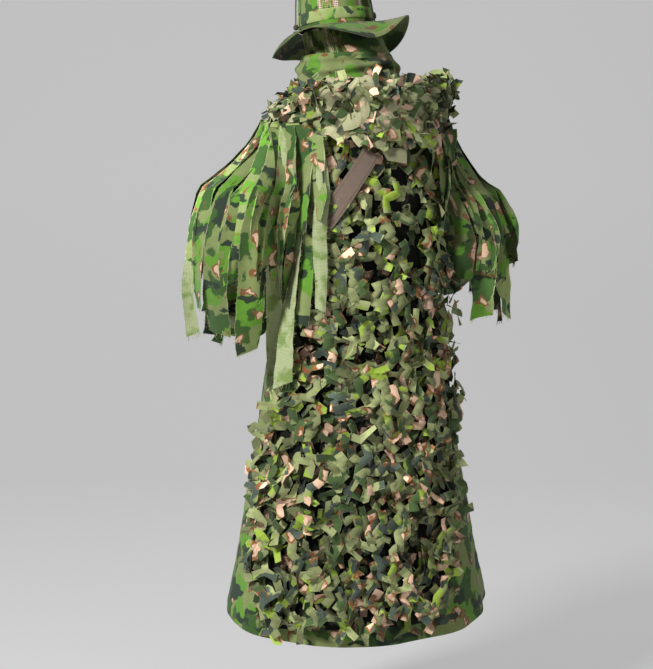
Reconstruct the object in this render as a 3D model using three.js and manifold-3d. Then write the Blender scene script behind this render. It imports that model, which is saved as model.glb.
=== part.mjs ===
// A ghillie suit as it hangs on its wearer: a hooded cloak with sleeves, die-cut camouflage net and rag
// fringes, and a boonie hat with a sewn-in mesh and cloth veil.
// Millimetres, +Z up. The wearer faces -Y, so +X is the wearer's left. The origin is the base of the neck.
import * as THREE from "three";
import { mergeVertices } from "three/addons/utils/BufferGeometryUtils.js";
import Module from "manifold-3d";

const wasm = await Module();
wasm.setup();

// ---------- Driving dimensions ----------
const CLOTH = 3; // thickness of a cloth solid, lining and seam included
const SEAM_GAP = 0.7; // free space between two panels at a seam, in degrees about the cloak
const NECK = { halfWidth: 82, halfDepth: 84, centreY: -8, z: -5, rise: 12 };
const SHOULDER = { halfWidth: 215, z: -55, backDrop: 95 };
const HEM = { z: -1228, backDrop: 44 };
const ARMHOLE_BOTTOM = -250;
const FRONT_SLOPE = 0.085; // how far the front leans out for each millimetre down
const FRONT_TOP = { y: -96, z: -25 };
// Half width of the cloak and how far its back stands behind the neck, at chosen heights.
const CLOAK_STATIONS = [
  { z: -50, halfWidth: 213, back: 104 },
  { z: -140, halfWidth: 190, back: 122 },
  { z: -250, halfWidth: 165, back: 138 },
  { z: -400, halfWidth: 184, back: 144 },
  { z: -550, halfWidth: 206, back: 150 },
  { z: -800, halfWidth: 244, back: 170 },
  { z: -1100, halfWidth: 296, back: 204 },
  { z: -1320, halfWidth: 345, back: 232 },
];
const PANEL_EDGE = { back: 50, side: 130 }; // degrees from the centre of the back
const ZIP = {
  topZ: -72,
  length: 580,
  panelEdge: 24,
  toothInner: 1,
  toothOuter: 3.8,
  tapeOuter: 34,
};
const NET = { offset: 10, thickness: 26, backing: 6, topZ: -130, splitZ: -550, bottomZ: -1250 };
// Where the net's two edges lie, in degrees from the centre of the back.
const NET_EDGES = [
  { z: -130, left: 46, right: -46 },
  { z: -400, left: 52, right: -58 },
  { z: -550, left: 58, right: -66 },
  { z: -690, left: 64, right: -66 },
  { z: -800, left: 78, right: -56 },
  { z: -1100, left: 72, right: -40 },
  { z: -1250, left: 50, right: -24 },
];
const STRAP = { width: 38, thickness: 2.5, from: [18, -152], to: [126, -338] };
const SLEEVE = { shoulder: 64, elbow: 60, wrist: 48 };
const CAP_TURN = 118; // how far round the arm the shoulder cap reaches, each way from the outer side
const ARMS = {
  left: [
    [236, 6, -215],
    [275, 24, -355],
    [262, -42, -560],
  ],
  right: [
    [-236, 6, -215],
    [-286, 14, -350],
    [-284, -142, -452],
  ],
};
const HAT = {
  centre: [36, -44, 150],
  yaw: 3,
  pitch: 3,
  roll: 5,
  halfWidth: 88,
  halfLength: 101,
  height: 84,
  taper: 0.93,
  brim: 84,
};
const CORD = { radius: 2, eyeletX: 101, bottomZ: 12, shoulderZ: 78 };
const BIB = { halfWidth: 124, halfDepth: 102, centre: [18, 0], bottomZ: 8, topZ: 88 };

// ---------- Materials ----------
const makeMaterial = (color, roughness, metalness = 0) =>
  new THREE.MeshStandardMaterial({ color, roughness, metalness });
const CAMO = makeMaterial(0x7e8f58, 0.9);
const CAMO_NET = makeMaterial(0x6f8450, 0.85);
const MESH_CLOTH = makeMaterial(0x8fa464, 0.9);
const DARK_MESH = makeMaterial(0x1d211a, 0.95);
const WEBBING = makeMaterial(0x75655a, 0.8);
const GUNMETAL = makeMaterial(0x4a4a44, 0.4, 0.9);
const CORD_BROWN = makeMaterial(0x5b5648, 0.85);
const BLACK_PLASTIC = makeMaterial(0x25261f, 0.5);

// ---------- Small geometry tools ----------
const rad = THREE.MathUtils.degToRad;
const lerp = THREE.MathUtils.lerp;
const root = new THREE.Group();

// A value of a table at height z, in straight lines between its rows.
function atHeight(rows, key, z) {
  const found = rows.findIndex((row) => z >= row.z);
  if (found === 0) return rows[0][key];
  if (found < 0) return rows[rows.length - 1][key];
  const [above, below] = [rows[found - 1], rows[found]];
  return lerp(above[key], below[key], (above.z - z) / (above.z - below.z));
}
const station = (key, z) => atHeight(CLOAK_STATIONS, key, z);

// The height at v, where v from 0 to 1 runs evenly through a list of heights.
function heightAt(heights, v) {
  const at = Math.min(Math.floor(v * (heights.length - 1)), heights.length - 2);
  return lerp(heights[at], heights[at + 1], v * (heights.length - 1) - at);
}

// Turns the faces of a closed geometry outwards, if its mapping turned them in.
function facingOut(geometry) {
  const g = mergeVertices(
    new THREE.BufferGeometry()
      .setAttribute("position", geometry.getAttribute("position"))
      .setIndex(geometry.index),
    1e-3,
  );
  const p = g.getAttribute("position");
  const index = g.index.array;
  const [a, b, c] = [new THREE.Vector3(), new THREE.Vector3(), new THREE.Vector3()];
  let volume = 0;
  for (let i = 0; i < index.length; i += 3) {
    a.fromBufferAttribute(p, index[i]);
    b.fromBufferAttribute(p, index[i + 1]);
    c.fromBufferAttribute(p, index[i + 2]);
    volume += a.dot(b.cross(c));
  }
  if (volume < 0) {
    for (let i = 0; i < index.length; i += 3) {
      [index[i + 1], index[i + 2]] = [index[i + 2], index[i + 1]];
    }
  }
  g.computeVertexNormals();
  return g;
}

// Moves each vertex of a geometry to map(x, y, z).
function warp(geometry, map) {
  const p = geometry.getAttribute("position");
  for (let i = 0; i < p.count; i++) {
    const to = map(p.getX(i), p.getY(i), p.getZ(i));
    p.setXYZ(i, to.x, to.y, to.z);
  }
  return facingOut(geometry);
}

// A sheet whose map takes u and v from 0 to 1 along it and w from 0 to 1 through it.
function sheet(along, down, map) {
  const box = new THREE.BoxGeometry(1, 1, 1, along, down, 1);
  return warp(box, (x, y, z) => map(x + 0.5, 0.5 - y, z + 0.5));
}

// A closed band: angle in radians all the way round, t from 0 to 1 along it, w from 0 to 1 through it.
function band(around, along, map) {
  const profile = [];
  for (let i = 0; i <= along; i++) profile.push(new THREE.Vector2(1, i / along));
  for (let i = along; i >= 0; i--) profile.push(new THREE.Vector2(2, i / along));
  profile.push(new THREE.Vector2(1, 0));
  return warp(new THREE.LatheGeometry(profile, around), (x, y, z) =>
    map(Math.atan2(z, x), y, Math.hypot(x, z) - 1),
  );
}

// A surface's point pushed out along its normal, which is found from the points beside it.
function offsetFrom(surface, u, v, distance) {
  const e = 1e-2;
  const here = surface(u, v);
  const du = surface(u + e, v).sub(surface(u - e, v));
  const dv = surface(u, v + e).sub(surface(u, v - e));
  return here.addScaledVector(du.cross(dv).normalize(), distance);
}

function addMesh(name, geometry, material, parent = root) {
  const mesh = new THREE.Mesh(geometry, material);
  mesh.name = name;
  parent.add(mesh);
  return mesh;
}

function toManifold(geometry) {
  const g = facingOut(geometry);
  return new wasm.Manifold(
    new wasm.Mesh({
      numProp: 3,
      vertProperties: g.getAttribute("position").array,
      triVerts: new Uint32Array(g.index.array),
    }),
  );
}

function fromManifold(solid) {
  const made = solid.getMesh();
  return new THREE.BufferGeometry()
    .setAttribute("position", new THREE.BufferAttribute(made.vertProperties, 3))
    .setIndex(new THREE.BufferAttribute(made.triVerts, 1));
}

const fused = (...geometries) =>
  fromManifold(geometries.map(toManifold).reduce((whole, next) => whole.add(next)));

// A box given by its lowest and highest corners.
function block(low, high) {
  const size = high.map((h, k) => h - low[k]);
  return new THREE.BoxGeometry(...size).translate(
    ...low.map((l, k) => l + size[k] / 2),
  );
}

// ---------- The cloak's own surface ----------
// angle is in degrees from the centre of the back, towards the wearer's left; z is a height.
const frontY = (z) => FRONT_TOP.y - FRONT_SLOPE * (FRONT_TOP.z - z);
function skin(angle, z) {
  const back = station("back", z);
  const front = frontY(z);
  return new THREE.Vector3(
    station("halfWidth", z) * Math.sin(rad(angle)),
    (back + front) / 2 + ((back - front) / 2) * Math.cos(rad(angle)),
    z,
  );
}
// Every sheet on the skin has rows at the heights where the skin bends, so that neighbours meet.
const BENDS = [-250, -400, -550, -800, -1100];
const skinOut = (angle, z, distance) =>
  offsetFrom((a, h) => skin(a, -h), angle, -z, distance);
const hemZ = (angle) => HEM.z - HEM.backDrop * Math.cos(rad(angle));
const yokeZ = (angle) => SHOULDER.z - SHOULDER.backDrop * Math.cos(rad(angle)) ** 2;
// The angle at which the front edge stands panelEdge from the zip.
const frontAngle = (z) => 180 - THREE.MathUtils.radToDeg(Math.asin(ZIP.panelEdge / station("halfWidth", z)));

function yoke(angle, s) {
  const inner = new THREE.Vector3(
    NECK.halfWidth * Math.sin(rad(angle)),
    NECK.centreY + NECK.halfDepth * Math.cos(rad(angle)),
    NECK.z + NECK.rise * Math.cos(rad(angle)),
  );
  const outer = skin(angle, yokeZ(angle));
  const fall = 0.6 * s + 0.4 * s ** 4;
  return new THREE.Vector3(
    lerp(inner.x, outer.x, s),
    lerp(inner.y, outer.y, s),
    lerp(inner.z, outer.z, fall),
  );
}

function addYokes() {
  for (const [side, sign] of [["left", 1], ["right", -1]]) {
    const geometry = sheet(14, 4, (u, v, w) => {
      const s = lerp(0.02, 0.985, v);
      const edge = 180 - THREE.MathUtils.radToDeg(Math.asin(ZIP.panelEdge / lerp(NECK.halfWidth, SHOULDER.halfWidth, s)));
      const angle = sign * lerp(0.4, edge, u);
      return offsetFrom((a, t) => yoke(a * sign, t), angle * sign, s, sign * w * CLOTH);
    });
    addMesh(`yoke_${side}`, geometry, CAMO);
  }
}

function addCloakPanels() {
  const panel = (name, along, angleAt, topAt, bends) => {
    const geometry = sheet(along, bends.length + 1, (u, v, w) => {
      const seamAngle = angleAt(u, HEM.z);
      const z = heightAt([topAt(seamAngle), ...bends, hemZ(seamAngle)], v);
      return skinOut(angleAt(u, z), z, w * CLOTH);
    });
    addMesh(name, geometry, CAMO);
  };
  const { back, side } = PANEL_EDGE;
  const belowYoke = (angle) => yokeZ(angle) - 5;
  panel("back_panel", 10, (u) => lerp(SEAM_GAP - back, back - SEAM_GAP, u), belowYoke, BENDS);
  for (const [hand, sign] of [["left", 1], ["right", -1]]) {
    const sideAngle = (u) => sign * lerp(back, side, u);
    panel(`side_panel_${hand}`, 8, sideAngle, () => ARMHOLE_BOTTOM, BENDS.slice(1));
    const frontAngleAt = (u, z) => sign * lerp(side + SEAM_GAP, frontAngle(z), u);
    panel(`front_panel_${hand}`, 5, frontAngleAt, belowYoke, BENDS);
  }
  const underlap = sheet(2, 6, (u, v, w) => {
    const z = lerp(ZIP.topZ - ZIP.length - 30, hemZ(180) + 4, v);
    return new THREE.Vector3(lerp(-52, 52, u), frontY(z) + 7 + w * CLOTH, z);
  });
  addMesh("front_underlap", underlap, CAMO);
}

// ---------- Shoulder caps and sleeves ----------
const armPaths = Object.fromEntries(
  Object.entries(ARMS).map(([side, points]) => [
    side,
    new THREE.CatmullRomCurve3(points.map((p) => new THREE.Vector3(...p))),
  ]),
);
const sleeveRadius = (t) =>
  t < 0.45
    ? lerp(SLEEVE.shoulder, SLEEVE.elbow, t / 0.45)
    : lerp(SLEEVE.elbow, SLEEVE.wrist, (t - 0.45) / 0.55);

// A point of a sleeve: turn is 0 on the arm's outer side and 90 degrees at its back.
function sleevePoint(side, turn, t, distance) {
  const sign = side === "left" ? 1 : -1;
  const path = armPaths[side];
  const centre = path.getPoint(t);
  const along = path.getTangent(t);
  const back = new THREE.Vector3(0, -along.z, along.y).normalize();
  const out = new THREE.Vector3().crossVectors(back, along).multiplyScalar(sign).normalize();
  const r = sleeveRadius(t) + distance;
  return centre
    .addScaledVector(out, r * Math.cos(turn))
    .addScaledVector(back, r * Math.sin(turn));
}

function addSleeves(side) {
  const parts = [
    [`sleeve_upper_${side}`, 0, 0.47],
    [`sleeve_lower_${side}`, 0.475, 0.92],
  ];
  for (const [name, from, to] of parts) {
    const tube = band(16, 3, (turn, t, w) =>
      sleevePoint(side, turn, lerp(from, to, t), (w - 1) * CLOTH),
    );
    addMesh(name, tube, CAMO);
  }
  const cuff = band(16, 1, (turn, t, w) =>
    sleevePoint(side, turn, lerp(0.926, 1, t), (w - 1) * CLOTH + 1),
  );
  addMesh(`cuff_${side}`, cuff, CAMO);
}

// The cap's outside at turn round the arm, t being 0 at the yoke and 1 at the sleeve.
function capPoint(side, turn, t, distance) {
  const sign = side === "left" ? 1 : -1;
  const surface = (at, down) => {
    const share = (CAP_TURN - at) / (2 * CAP_TURN);
    const angle = lerp(PANEL_EDGE.back + 3, PANEL_EDGE.side - 3, share);
    const top = skin(sign * angle, yokeZ(angle) - 3);
    top.x += sign * 2;
    const bottom = sleevePoint(side, rad(at), 0, 0);
    bottom.z += 5;
    const point = top.lerp(bottom, down);
    const bulge = Math.sin(Math.PI * down) * Math.sin(Math.PI * share);
    point.x += sign * 20 * bulge;
    point.z += 24 * bulge;
    return point;
  };
  return offsetFrom(surface, turn, t, sign * distance);
}

function addShoulderCap(side) {
  const cap = sheet(12, 4, (u, v, w) =>
    capPoint(side, lerp(CAP_TURN, -CAP_TURN, u), v, (w - 1) * CLOTH),
  );
  addMesh(`shoulder_cap_${side}`, cap, CAMO);
}

// ---------- Rag fringes: a sewn header tape and the strips that hang from it ----------
// Turns are in degrees round the arm from its outer side, towards the back; radii are from the arm's centre.
const HEADER = 16;
const ARM_FRINGES = [
  { name: "fringe_left_shoulder", side: "left", cap: 0.3, bottom: -492, outer: 124, turns: [-74, 112], strips: 8 },
  { name: "fringe_left_elbow", side: "left", top: -318, bottom: -585, inner: 70, outer: 88, turns: [-80, 120], strips: 8 },
  { name: "fringe_left_forearm", side: "left", top: -460, bottom: -604, inner: 64, outer: 74, turns: [-70, 80], strips: 5 },
  { name: "fringe_right_shoulder", side: "right", cap: 0.3, bottom: -452, outer: 98, turns: [-40, 118], strips: 7 },
  { name: "fringe_right_elbow", side: "right", top: -330, bottom: -588, inner: 68, outer: 82, turns: [0, 110], strips: 5 },
];
const BACK_FRINGE = { angles: [36, 59], top: -176, bottom: -684, offset: 48, strips: 4 };

// The arm's centre at height z; strips on the raised right forearm hang from the elbow.
function armCentre(side, z) {
  const path = armPaths[side];
  let [low, high] = [0, side === "left" ? 1 : 0.5];
  for (let i = 0; i < 20; i++) {
    const middle = (low + high) / 2;
    if (path.getPoint(middle).z > z) low = middle;
    else high = middle;
  }
  return path.getPoint(low);
}

// A point of a hanging strip: it leaves its seam and swings out to the row's outer radius.
function armFringePoint(row, turn, z, w) {
  const centre = armCentre(row.side, z);
  const across = row.side === "left" ? Math.cos(rad(turn)) : -Math.cos(rad(turn));
  const out = new THREE.Vector3(across, Math.sin(rad(turn)), 0);
  const hung = centre.clone().addScaledVector(out, row.outer + w * CLOTH);
  const seam = row.cap
    ? capPoint(row.side, turn, row.cap, 0).addScaledVector(out, 7 + w * CLOTH)
    : centre.clone().addScaledVector(out, row.inner + w * CLOTH);
  const fallen = THREE.MathUtils.clamp(((row.top ?? seam.z) - z) / 160, 0, 1);
  return seam.lerp(hung, 1 - (1 - fallen) ** 1.5).setZ(z);
}

// The header tape and strips of a row, whose point(across, z, w) takes across from 0 to 1.
function fringe(strips, topAt, bottom, point) {
  const header = sheet(strips * 2, 1, (u, v, w) => point(u, topAt(u) - v * HEADER, w));
  const hanging = Array.from({ length: strips }, (_, i) => {
    const end = bottom + 17 * ((i * 3) % 4);
    return sheet(2, 5, (u, v, w) => {
      const across = (i + lerp(0.06, 0.94, u)) / strips;
      return point(across, lerp(topAt(across), end, v), w);
    });
  });
  return fused(header, ...hanging);
}

function addFringes() {
  for (const row of ARM_FRINGES) {
    const turnAt = (u) => lerp(row.turns[0], row.turns[1], u);
    const topAt = (u) => (row.cap ? capPoint(row.side, turnAt(u), row.cap, 0).z + 4 : row.top);
    const point = (u, z, w) => armFringePoint(row, turnAt(u), z, w);
    addMesh(row.name, fringe(row.strips, topAt, row.bottom, point), CAMO);
  }
  const { angles, top, bottom, offset, strips } = BACK_FRINGE;
  const back = fringe(strips, () => top, bottom, (u, z, w) =>
    skinOut(lerp(angles[0], angles[1], u), z, offset + w * CLOTH),
  );
  addMesh("fringe_left_back", back, CAMO);
}

// ---------- Net, webbing and hood ----------
function addNet() {
  const edge = (u, z, inset) =>
    lerp(atHeight(NET_EDGES, "right", z) + inset, atHeight(NET_EDGES, "left", z) - inset, u);
  const plate = (name, along, heights, inner, thickness, inset, material) => {
    const geometry = sheet(along, heights.length - 1, (u, v, w) => {
      const z = heightAt(heights, v);
      return skinOut(edge(u, z, inset), z, inner + w * thickness);
    });
    addMesh(name, geometry, material);
  };
  const { offset, thickness, splitZ } = NET;
  const upper = [NET.topZ, BENDS[0], BENDS[1], splitZ + 1];
  const lower = [splitZ - 1, -690, -745, BENDS[3], -950, BENDS[4], NET.bottomZ];
  plate("net_upper_back", 10, upper, offset, thickness, 0, CAMO_NET);
  plate("net_lower_back", 12, lower, offset, thickness, 0, CAMO_NET);
  const backed = [NET.topZ - 24, BENDS[0], BENDS[1], splitZ + 4];
  plate("net_backing_mesh", 10, backed, NET.backing, 1.2, 3, DARK_MESH);
}

function addStrap() {
  const along = new THREE.Vector2(STRAP.to[0] - STRAP.from[0], STRAP.to[1] - STRAP.from[1]);
  const across = new THREE.Vector2(-along.y, along.x).setLength(STRAP.width);
  const inner = NET.offset + NET.thickness + 4;
  const strap = sheet(2, 6, (u, v, w) => {
    const x = STRAP.from[0] + along.x * v + across.x * (u - 0.5);
    const z = STRAP.from[1] + along.y * v + across.y * (u - 0.5);
    const angle = THREE.MathUtils.radToDeg(Math.asin(x / station("halfWidth", z)));
    return skinOut(angle, z, inner + w * STRAP.thickness);
  });
  addMesh("back_strap", strap, WEBBING);
}

const HOOD = {
  path: [
    [142, 104, 0],
    [88, 150, -4],
    [-10, 166, -8],
    [-110, 150, -6],
    [-182, 98, 2],
    [-206, 14, 8],
  ],
  radius: 30,
  drape: { from: -62, to: 48, topZ: -48, leftZ: -72, middleZ: -122, rightZ: -50, inner: 40, thickness: 22 },
};

function addHood() {
  const path = new THREE.CatmullRomCurve3(HOOD.path.map((p) => new THREE.Vector3(...p)));
  const rounded = new THREE.CapsuleGeometry(1, 10, 4, 12, 14);
  const half = 5;
  const roll = warp(rounded, (x, y, z) => {
    const t = THREE.MathUtils.clamp((y + half) / (2 * half), 0, 1);
    const centre = path.getPoint(t);
    const tangent = path.getTangent(t);
    const side = new THREE.Vector3(0, 0, 1).cross(tangent).normalize();
    return centre.addScaledVector(side, x * HOOD.radius).add(new THREE.Vector3(0, 0, z * HOOD.radius));
  });
  addMesh("hood_roll", roll, CAMO_NET);
  const d = HOOD.drape;
  const drape = sheet(10, 3, (u, v, w) => {
    const angle = lerp(d.from, d.to, u);
    const ends = lerp(d.rightZ, d.leftZ, u);
    const low = lerp(ends, d.middleZ, Math.sin(Math.PI * u) ** 0.8);
    const z = lerp(d.topZ, Math.min(low, d.topZ - 18), v);
    const out = skinOut(angle, Math.min(z, -52), d.inner + w * d.thickness);
    return new THREE.Vector3(out.x, out.y, z);
  });
  addMesh("hood_drape", drape, CAMO_NET);
}

function addCollar() {
  const collar = sheet(22, 1, (u, v, w) => {
    const angle = lerp(-171, 171, u);
    const r = 2 + w * CLOTH;
    return new THREE.Vector3(
      (NECK.halfWidth + r) * Math.sin(rad(angle)),
      NECK.centreY + (NECK.halfDepth + r) * Math.cos(rad(angle)),
      NECK.z + NECK.rise * Math.cos(rad(angle)) + lerp(32, 6, v),
    );
  });
  addMesh("neck_band", collar, CAMO);
  const y = NECK.centreY + NECK.halfDepth;
  const loop = fused(
    block([-20, y - 8, 26], [20, y - 6, 32]),
    block([-20, y - 8, 26], [-15, y - 2.5, 32]),
    block([15, y - 8, 26], [20, y - 2.5, 32]),
  );
  addMesh("hanger_loop", loop, WEBBING);
}

// ---------- Front zip ----------
const zipFrame = new THREE.Group();
zipFrame.position.set(0, frontY(ZIP.topZ), ZIP.topZ);
zipFrame.rotation.x = -Math.atan(FRONT_SLOPE);
root.add(zipFrame);

function addZip() {
  const slider = { half: 6, halfLength: 10, z: -14 };
  for (const [side, sign] of [["left", 1], ["right", -1]]) {
    const span = (a, b) => [Math.min(sign * a, sign * b), Math.max(sign * a, sign * b)];
    const [t0, t1] = span(ZIP.toothOuter + 0.3, ZIP.tapeOuter);
    addMesh(`zip_tape_${side}`, block([t0, 3.2, -ZIP.length], [t1, 4.4, 0]), CAMO, zipFrame);
    const [c0, c1] = span(ZIP.toothInner, ZIP.toothOuter);
    addMesh(`zip_teeth_${side}`, block([c0, -0.6, -ZIP.length + 6], [c1, 4.2, -2]), BLACK_PLASTIC, zipFrame);
  }
  const bottom = -ZIP.length;
  addMesh("zip_bottom_stop", block([-4, -1.2, bottom - 6], [4, 4.8, bottom + 5.5]), GUNMETAL, zipFrame);
  const sliderSolid = fused(
    block([-slider.half, -3.4, -slider.halfLength], [slider.half, -1.2, slider.halfLength]),
    block([-slider.half, 4.8, -slider.halfLength], [slider.half, 6.4, slider.halfLength]),
    block([-0.7, -2, 2], [0.7, 5.5, slider.halfLength]),
    block([-1, -7, -5], [1, -6, 5]),
    block([-1, -7, 3.6], [1, -3, 5]),
    block([-1, -7, -5], [1, -3, -3.6]),
  );
  const sliderMesh = addMesh("zip_slider", sliderSolid, GUNMETAL, zipFrame);
  sliderMesh.position.z = slider.z;
  const pullSolid = fused(
    block([-4.2, -5.4, -0.8], [4.2, -3.9, 0.8]),
    block([-4.2, -5.4, -9], [-2.4, -3.9, 0.8]),
    block([2.4, -5.4, -9], [4.2, -3.9, 0.8]),
    block([-4.2, -5.4, -40], [4.2, -3.9, -8]),
  );
  const pullMesh = addMesh("zip_pull", pullSolid, GUNMETAL, zipFrame);
  pullMesh.position.z = slider.z;
}

// ---------- Boonie hat ----------
// In the hat's own frame its front is -Y and its crown stands on z = 0.
const hat = new THREE.Group();
hat.position.set(...HAT.centre);
hat.rotation.set(rad(HAT.pitch), rad(HAT.roll), rad(HAT.yaw), "ZYX");
root.add(hat);
hat.updateMatrixWorld(true);

const crownScale = (z) => lerp(1, HAT.taper, Math.min(z / HAT.height, 1));
function crownPoint(angle, z, distance) {
  const k = crownScale(z);
  return new THREE.Vector3(
    (HAT.halfWidth * k + distance) * Math.cos(angle),
    (HAT.halfLength * k + distance) * Math.sin(angle),
    z,
  );
}

// How far the brim's edge drops: it is turned up at the right rear and bent down at the right front.
function brimDroop(angle) {
  const towards = (degrees, sharpness) =>
    Math.max(0, Math.cos(angle - rad(degrees))) ** sharpness;
  const tilt = 45 - 62 * towards(152, 5) + 34 * towards(215, 2) + 6 * towards(0, 2);
  return tilt - 34 * towards(48, 6) + 8 * towards(100, 8);
}

function brimPoint(angle, t, w) {
  const drop = brimDroop(angle);
  const lean = Math.asin(Math.min(drop / HAT.brim, 0.95));
  const reach = HAT.brim * t;
  const out = reach * Math.cos(lean * (0.35 + 0.65 * t));
  const down = reach * Math.sin(lean * (0.35 + 0.65 * t));
  const base = crownPoint(angle, 0, 1 + out);
  base.z = -down + w * CLOTH - 1;
  return base;
}

function addHat() {
  const side = band(24, 2, (angle, t, w) => crownPoint(angle, 3 + t * (HAT.height - 3), (w - 1) * 2));
  addMesh("hat_crown_side", side, CAMO, hat);
  const dome = new THREE.LatheGeometry(
    [
      [0, 0],
      [1, 0],
      [1, 0.25],
      [0.85, 0.85],
      [0.5, 1],
      [0, 1],
    ].map(([r, h]) => new THREE.Vector2(r, h)),
    24,
  );
  const top = warp(dome, (x, y, z) => {
    const k = HAT.taper;
    return new THREE.Vector3(HAT.halfWidth * k * x, HAT.halfLength * k * z, HAT.height + 0.5 + 11 * y);
  });
  addMesh("hat_crown_top", top, CAMO, hat);
  const eyelet = { outer: 7, inner: 4, x: CORD.eyeletX };
  let brim = toManifold(band(36, 4, (angle, t, w) => brimPoint(angle, t, w)));
  for (const sign of [-1, 1]) {
    const hole = new THREE.CylinderGeometry(eyelet.outer, eyelet.outer, 60, 12).rotateX(Math.PI / 2);
    brim = brim.subtract(toManifold(hole.translate(sign * eyelet.x, 0, 0)));
  }
  addMesh("hat_brim", fromManifold(brim), CAMO, hat);
  const loops = band(24, 1, (angle, t, w) => crownPoint(angle, 12 + 26 * t, 0.6 + w * 3));
  addMesh("hat_foliage_band", loops, CAMO, hat);
  const sweat = band(24, 1, (angle, t, w) => crownPoint(angle, 4 + 28 * t, -4 + w * 1.4));
  addMesh("hat_sweatband", sweat, WEBBING, hat);
  for (const [name, sign] of [["left", 1], ["right", -1]]) {
    const vent = sheet(4, 2, (u, v, w) => {
      const angle = rad(90 - sign * lerp(20, 58, u));
      return crownPoint(angle, lerp(74, 42, v), 0.5 + w * 1.2);
    });
    addMesh(`hat_vent_mesh_${name}`, vent, DARK_MESH, hat);
    const ring = new THREE.LatheGeometry(
      [
        [3.6, -1.6],
        [6.6, -1.6],
        [6.6, 2.2],
        [3.6, 2.2],
        [3.6, -1.6],
      ].map(([r, h]) => new THREE.Vector2(r, h)),
      16,
    ).rotateX(Math.PI / 2);
    const lie = brimPoint(sign > 0 ? 0 : Math.PI, (eyelet.x - HAT.halfWidth - 1) / HAT.brim, 0.5);
    addMesh(`hat_eyelet_${name}`, ring.translate(sign * eyelet.x, 0, lie.z), GUNMETAL, hat);
    const knot = new THREE.LatheGeometry(
      [
        [0, -6.5],
        [3.2, -6.5],
        [6.2, -3],
        [6.6, 1],
        [4.6, 5.4],
        [0, 5.6],
      ].map(([r, h]) => new THREE.Vector2(r, h)),
      12,
    ).rotateX(Math.PI / 2);
    addMesh(`hat_cord_knot_${name}`, knot.translate(sign * eyelet.x, 0, CORD.bottomZ - 3), CORD_BROWN, hat);
  }
}

// The cord's route over the crown, from the right knot to the left one, in the hat's frame.
const CORD_ROUTE = [
  [-101, 0, 15],
  [-99.2, 0, 31.5],
  [-97.4, 0, 48],
  [-95.6, 0, 64.5],
  [-93.2, 0, 80],
  [-86, 0, 93],
  [-72, 0, 100.5],
  [-52, 0, 103],
  [-26, 0, 103.6],
  [0, 0, 103.6],
  [26, 0, 103.6],
  [52, 0, 103],
  [72, 0, 100.5],
  [86, 0, 93],
  [93.2, 0, 80],
  [95.6, 0, 64.5],
  [97.4, 0, 48],
  [99.2, 0, 31.5],
  [101, 0, 15],
];

function addChinCord() {
  const path = new THREE.CatmullRomCurve3(CORD_ROUTE.map((p) => new THREE.Vector3(...p)));
  const section = new THREE.Shape();
  for (let i = 0; i <= 8; i++) {
    const angle = (i / 8) * 2 * Math.PI;
    const [x, y] = [CORD.radius * Math.cos(angle), CORD.radius * Math.sin(angle)];
    if (i === 0) section.moveTo(x, y);
    else section.lineTo(x, y);
  }
  const tube = new THREE.ExtrudeGeometry(section, { steps: 40, bevelEnabled: false, extrudePath: path });
  addMesh("hat_chin_cord", tube, CORD_BROWN, hat);
  // A short barrel that grips the cord's straight run on the right.
  const [low, high] = [CORD_ROUTE[1], CORD_ROUTE[3]].map((p) => new THREE.Vector3(...p));
  const along = high.clone().sub(low).normalize();
  const barrel = new THREE.LatheGeometry(
    [
      [2.6, -7],
      [5.6, -7],
      [6.4, 0],
      [5.6, 7],
      [2.6, 7],
      [2.6, -7],
    ].map(([r, h]) => new THREE.Vector2(r, h)),
    14,
  );
  const slider = addMesh("hat_cord_slider", barrel, CORD_BROWN, hat);
  slider.quaternion.setFromUnitVectors(new THREE.Vector3(0, 1, 0), along);
  slider.position.copy(low.addScaledVector(along, -4));
}

// ---------- Veil: face mesh under the hat and a cloth bib over the collar ----------
const inWorld = (point) => point.applyMatrix4(hat.matrixWorld);

function veilRing(angle, t, inset) {
  const top = inWorld(
    new THREE.Vector3(
      (HAT.halfWidth - inset) * Math.cos(angle),
      (HAT.halfLength - inset) * Math.sin(angle),
      -4,
    ),
  );
  const low = new THREE.Vector3(
    BIB.centre[0] + (BIB.halfWidth - 22 - inset) * Math.cos(angle + rad(HAT.yaw)),
    BIB.centre[1] + (BIB.halfDepth - 8 - inset) * Math.sin(angle + rad(HAT.yaw)),
    BIB.topZ - 20,
  );
  return low.lerp(top, t);
}

function addVeil() {
  const net = band(24, 3, (angle, t, w) => veilRing(angle, 0.05 + 0.95 * t, 8 + (1 - w) * 2));
  addMesh("veil_face_mesh", net, MESH_CLOTH);
  const bib = band(24, 4, (angle, t, w) => {
    const low = new THREE.Vector3(
      BIB.centre[0] + BIB.halfWidth * Math.cos(angle),
      BIB.centre[1] + BIB.halfDepth * Math.sin(angle),
      BIB.bottomZ + 6 * Math.sin(angle),
    );
    const high = veilRing(angle - rad(HAT.yaw), 0.12, 2);
    const out = new THREE.Vector3(Math.cos(angle), Math.sin(angle), 0);
    return low.lerp(high, t).addScaledVector(out, w * CLOTH + 6 * Math.sin(Math.PI * t));
  });
  addMesh("veil_neck_cloth", bib, CAMO);
  const flap = sheet(8, 3, (u, v, w) => {
    const angle = rad(lerp(12, 112, u));
    const point = veilRing(Math.PI - angle, lerp(0.2, 0.95, v), -(1.5 + w * CLOTH));
    const centre = new THREE.Vector3(HAT.centre[0], HAT.centre[1], point.z);
    return point.add(point.clone().sub(centre).setLength(4));
  });
  addMesh("veil_rear_flap", flap, CAMO);
}

// ---------- The whole suit ----------
addYokes();
addCloakPanels();
for (const side of ["left", "right"]) {
  addShoulderCap(side);
  addSleeves(side);
}
addFringes();
addNet();
addStrap();
addHood();
addCollar();
addZip();
addHat();
addChinCord();
addVeil();

export default root;
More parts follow.
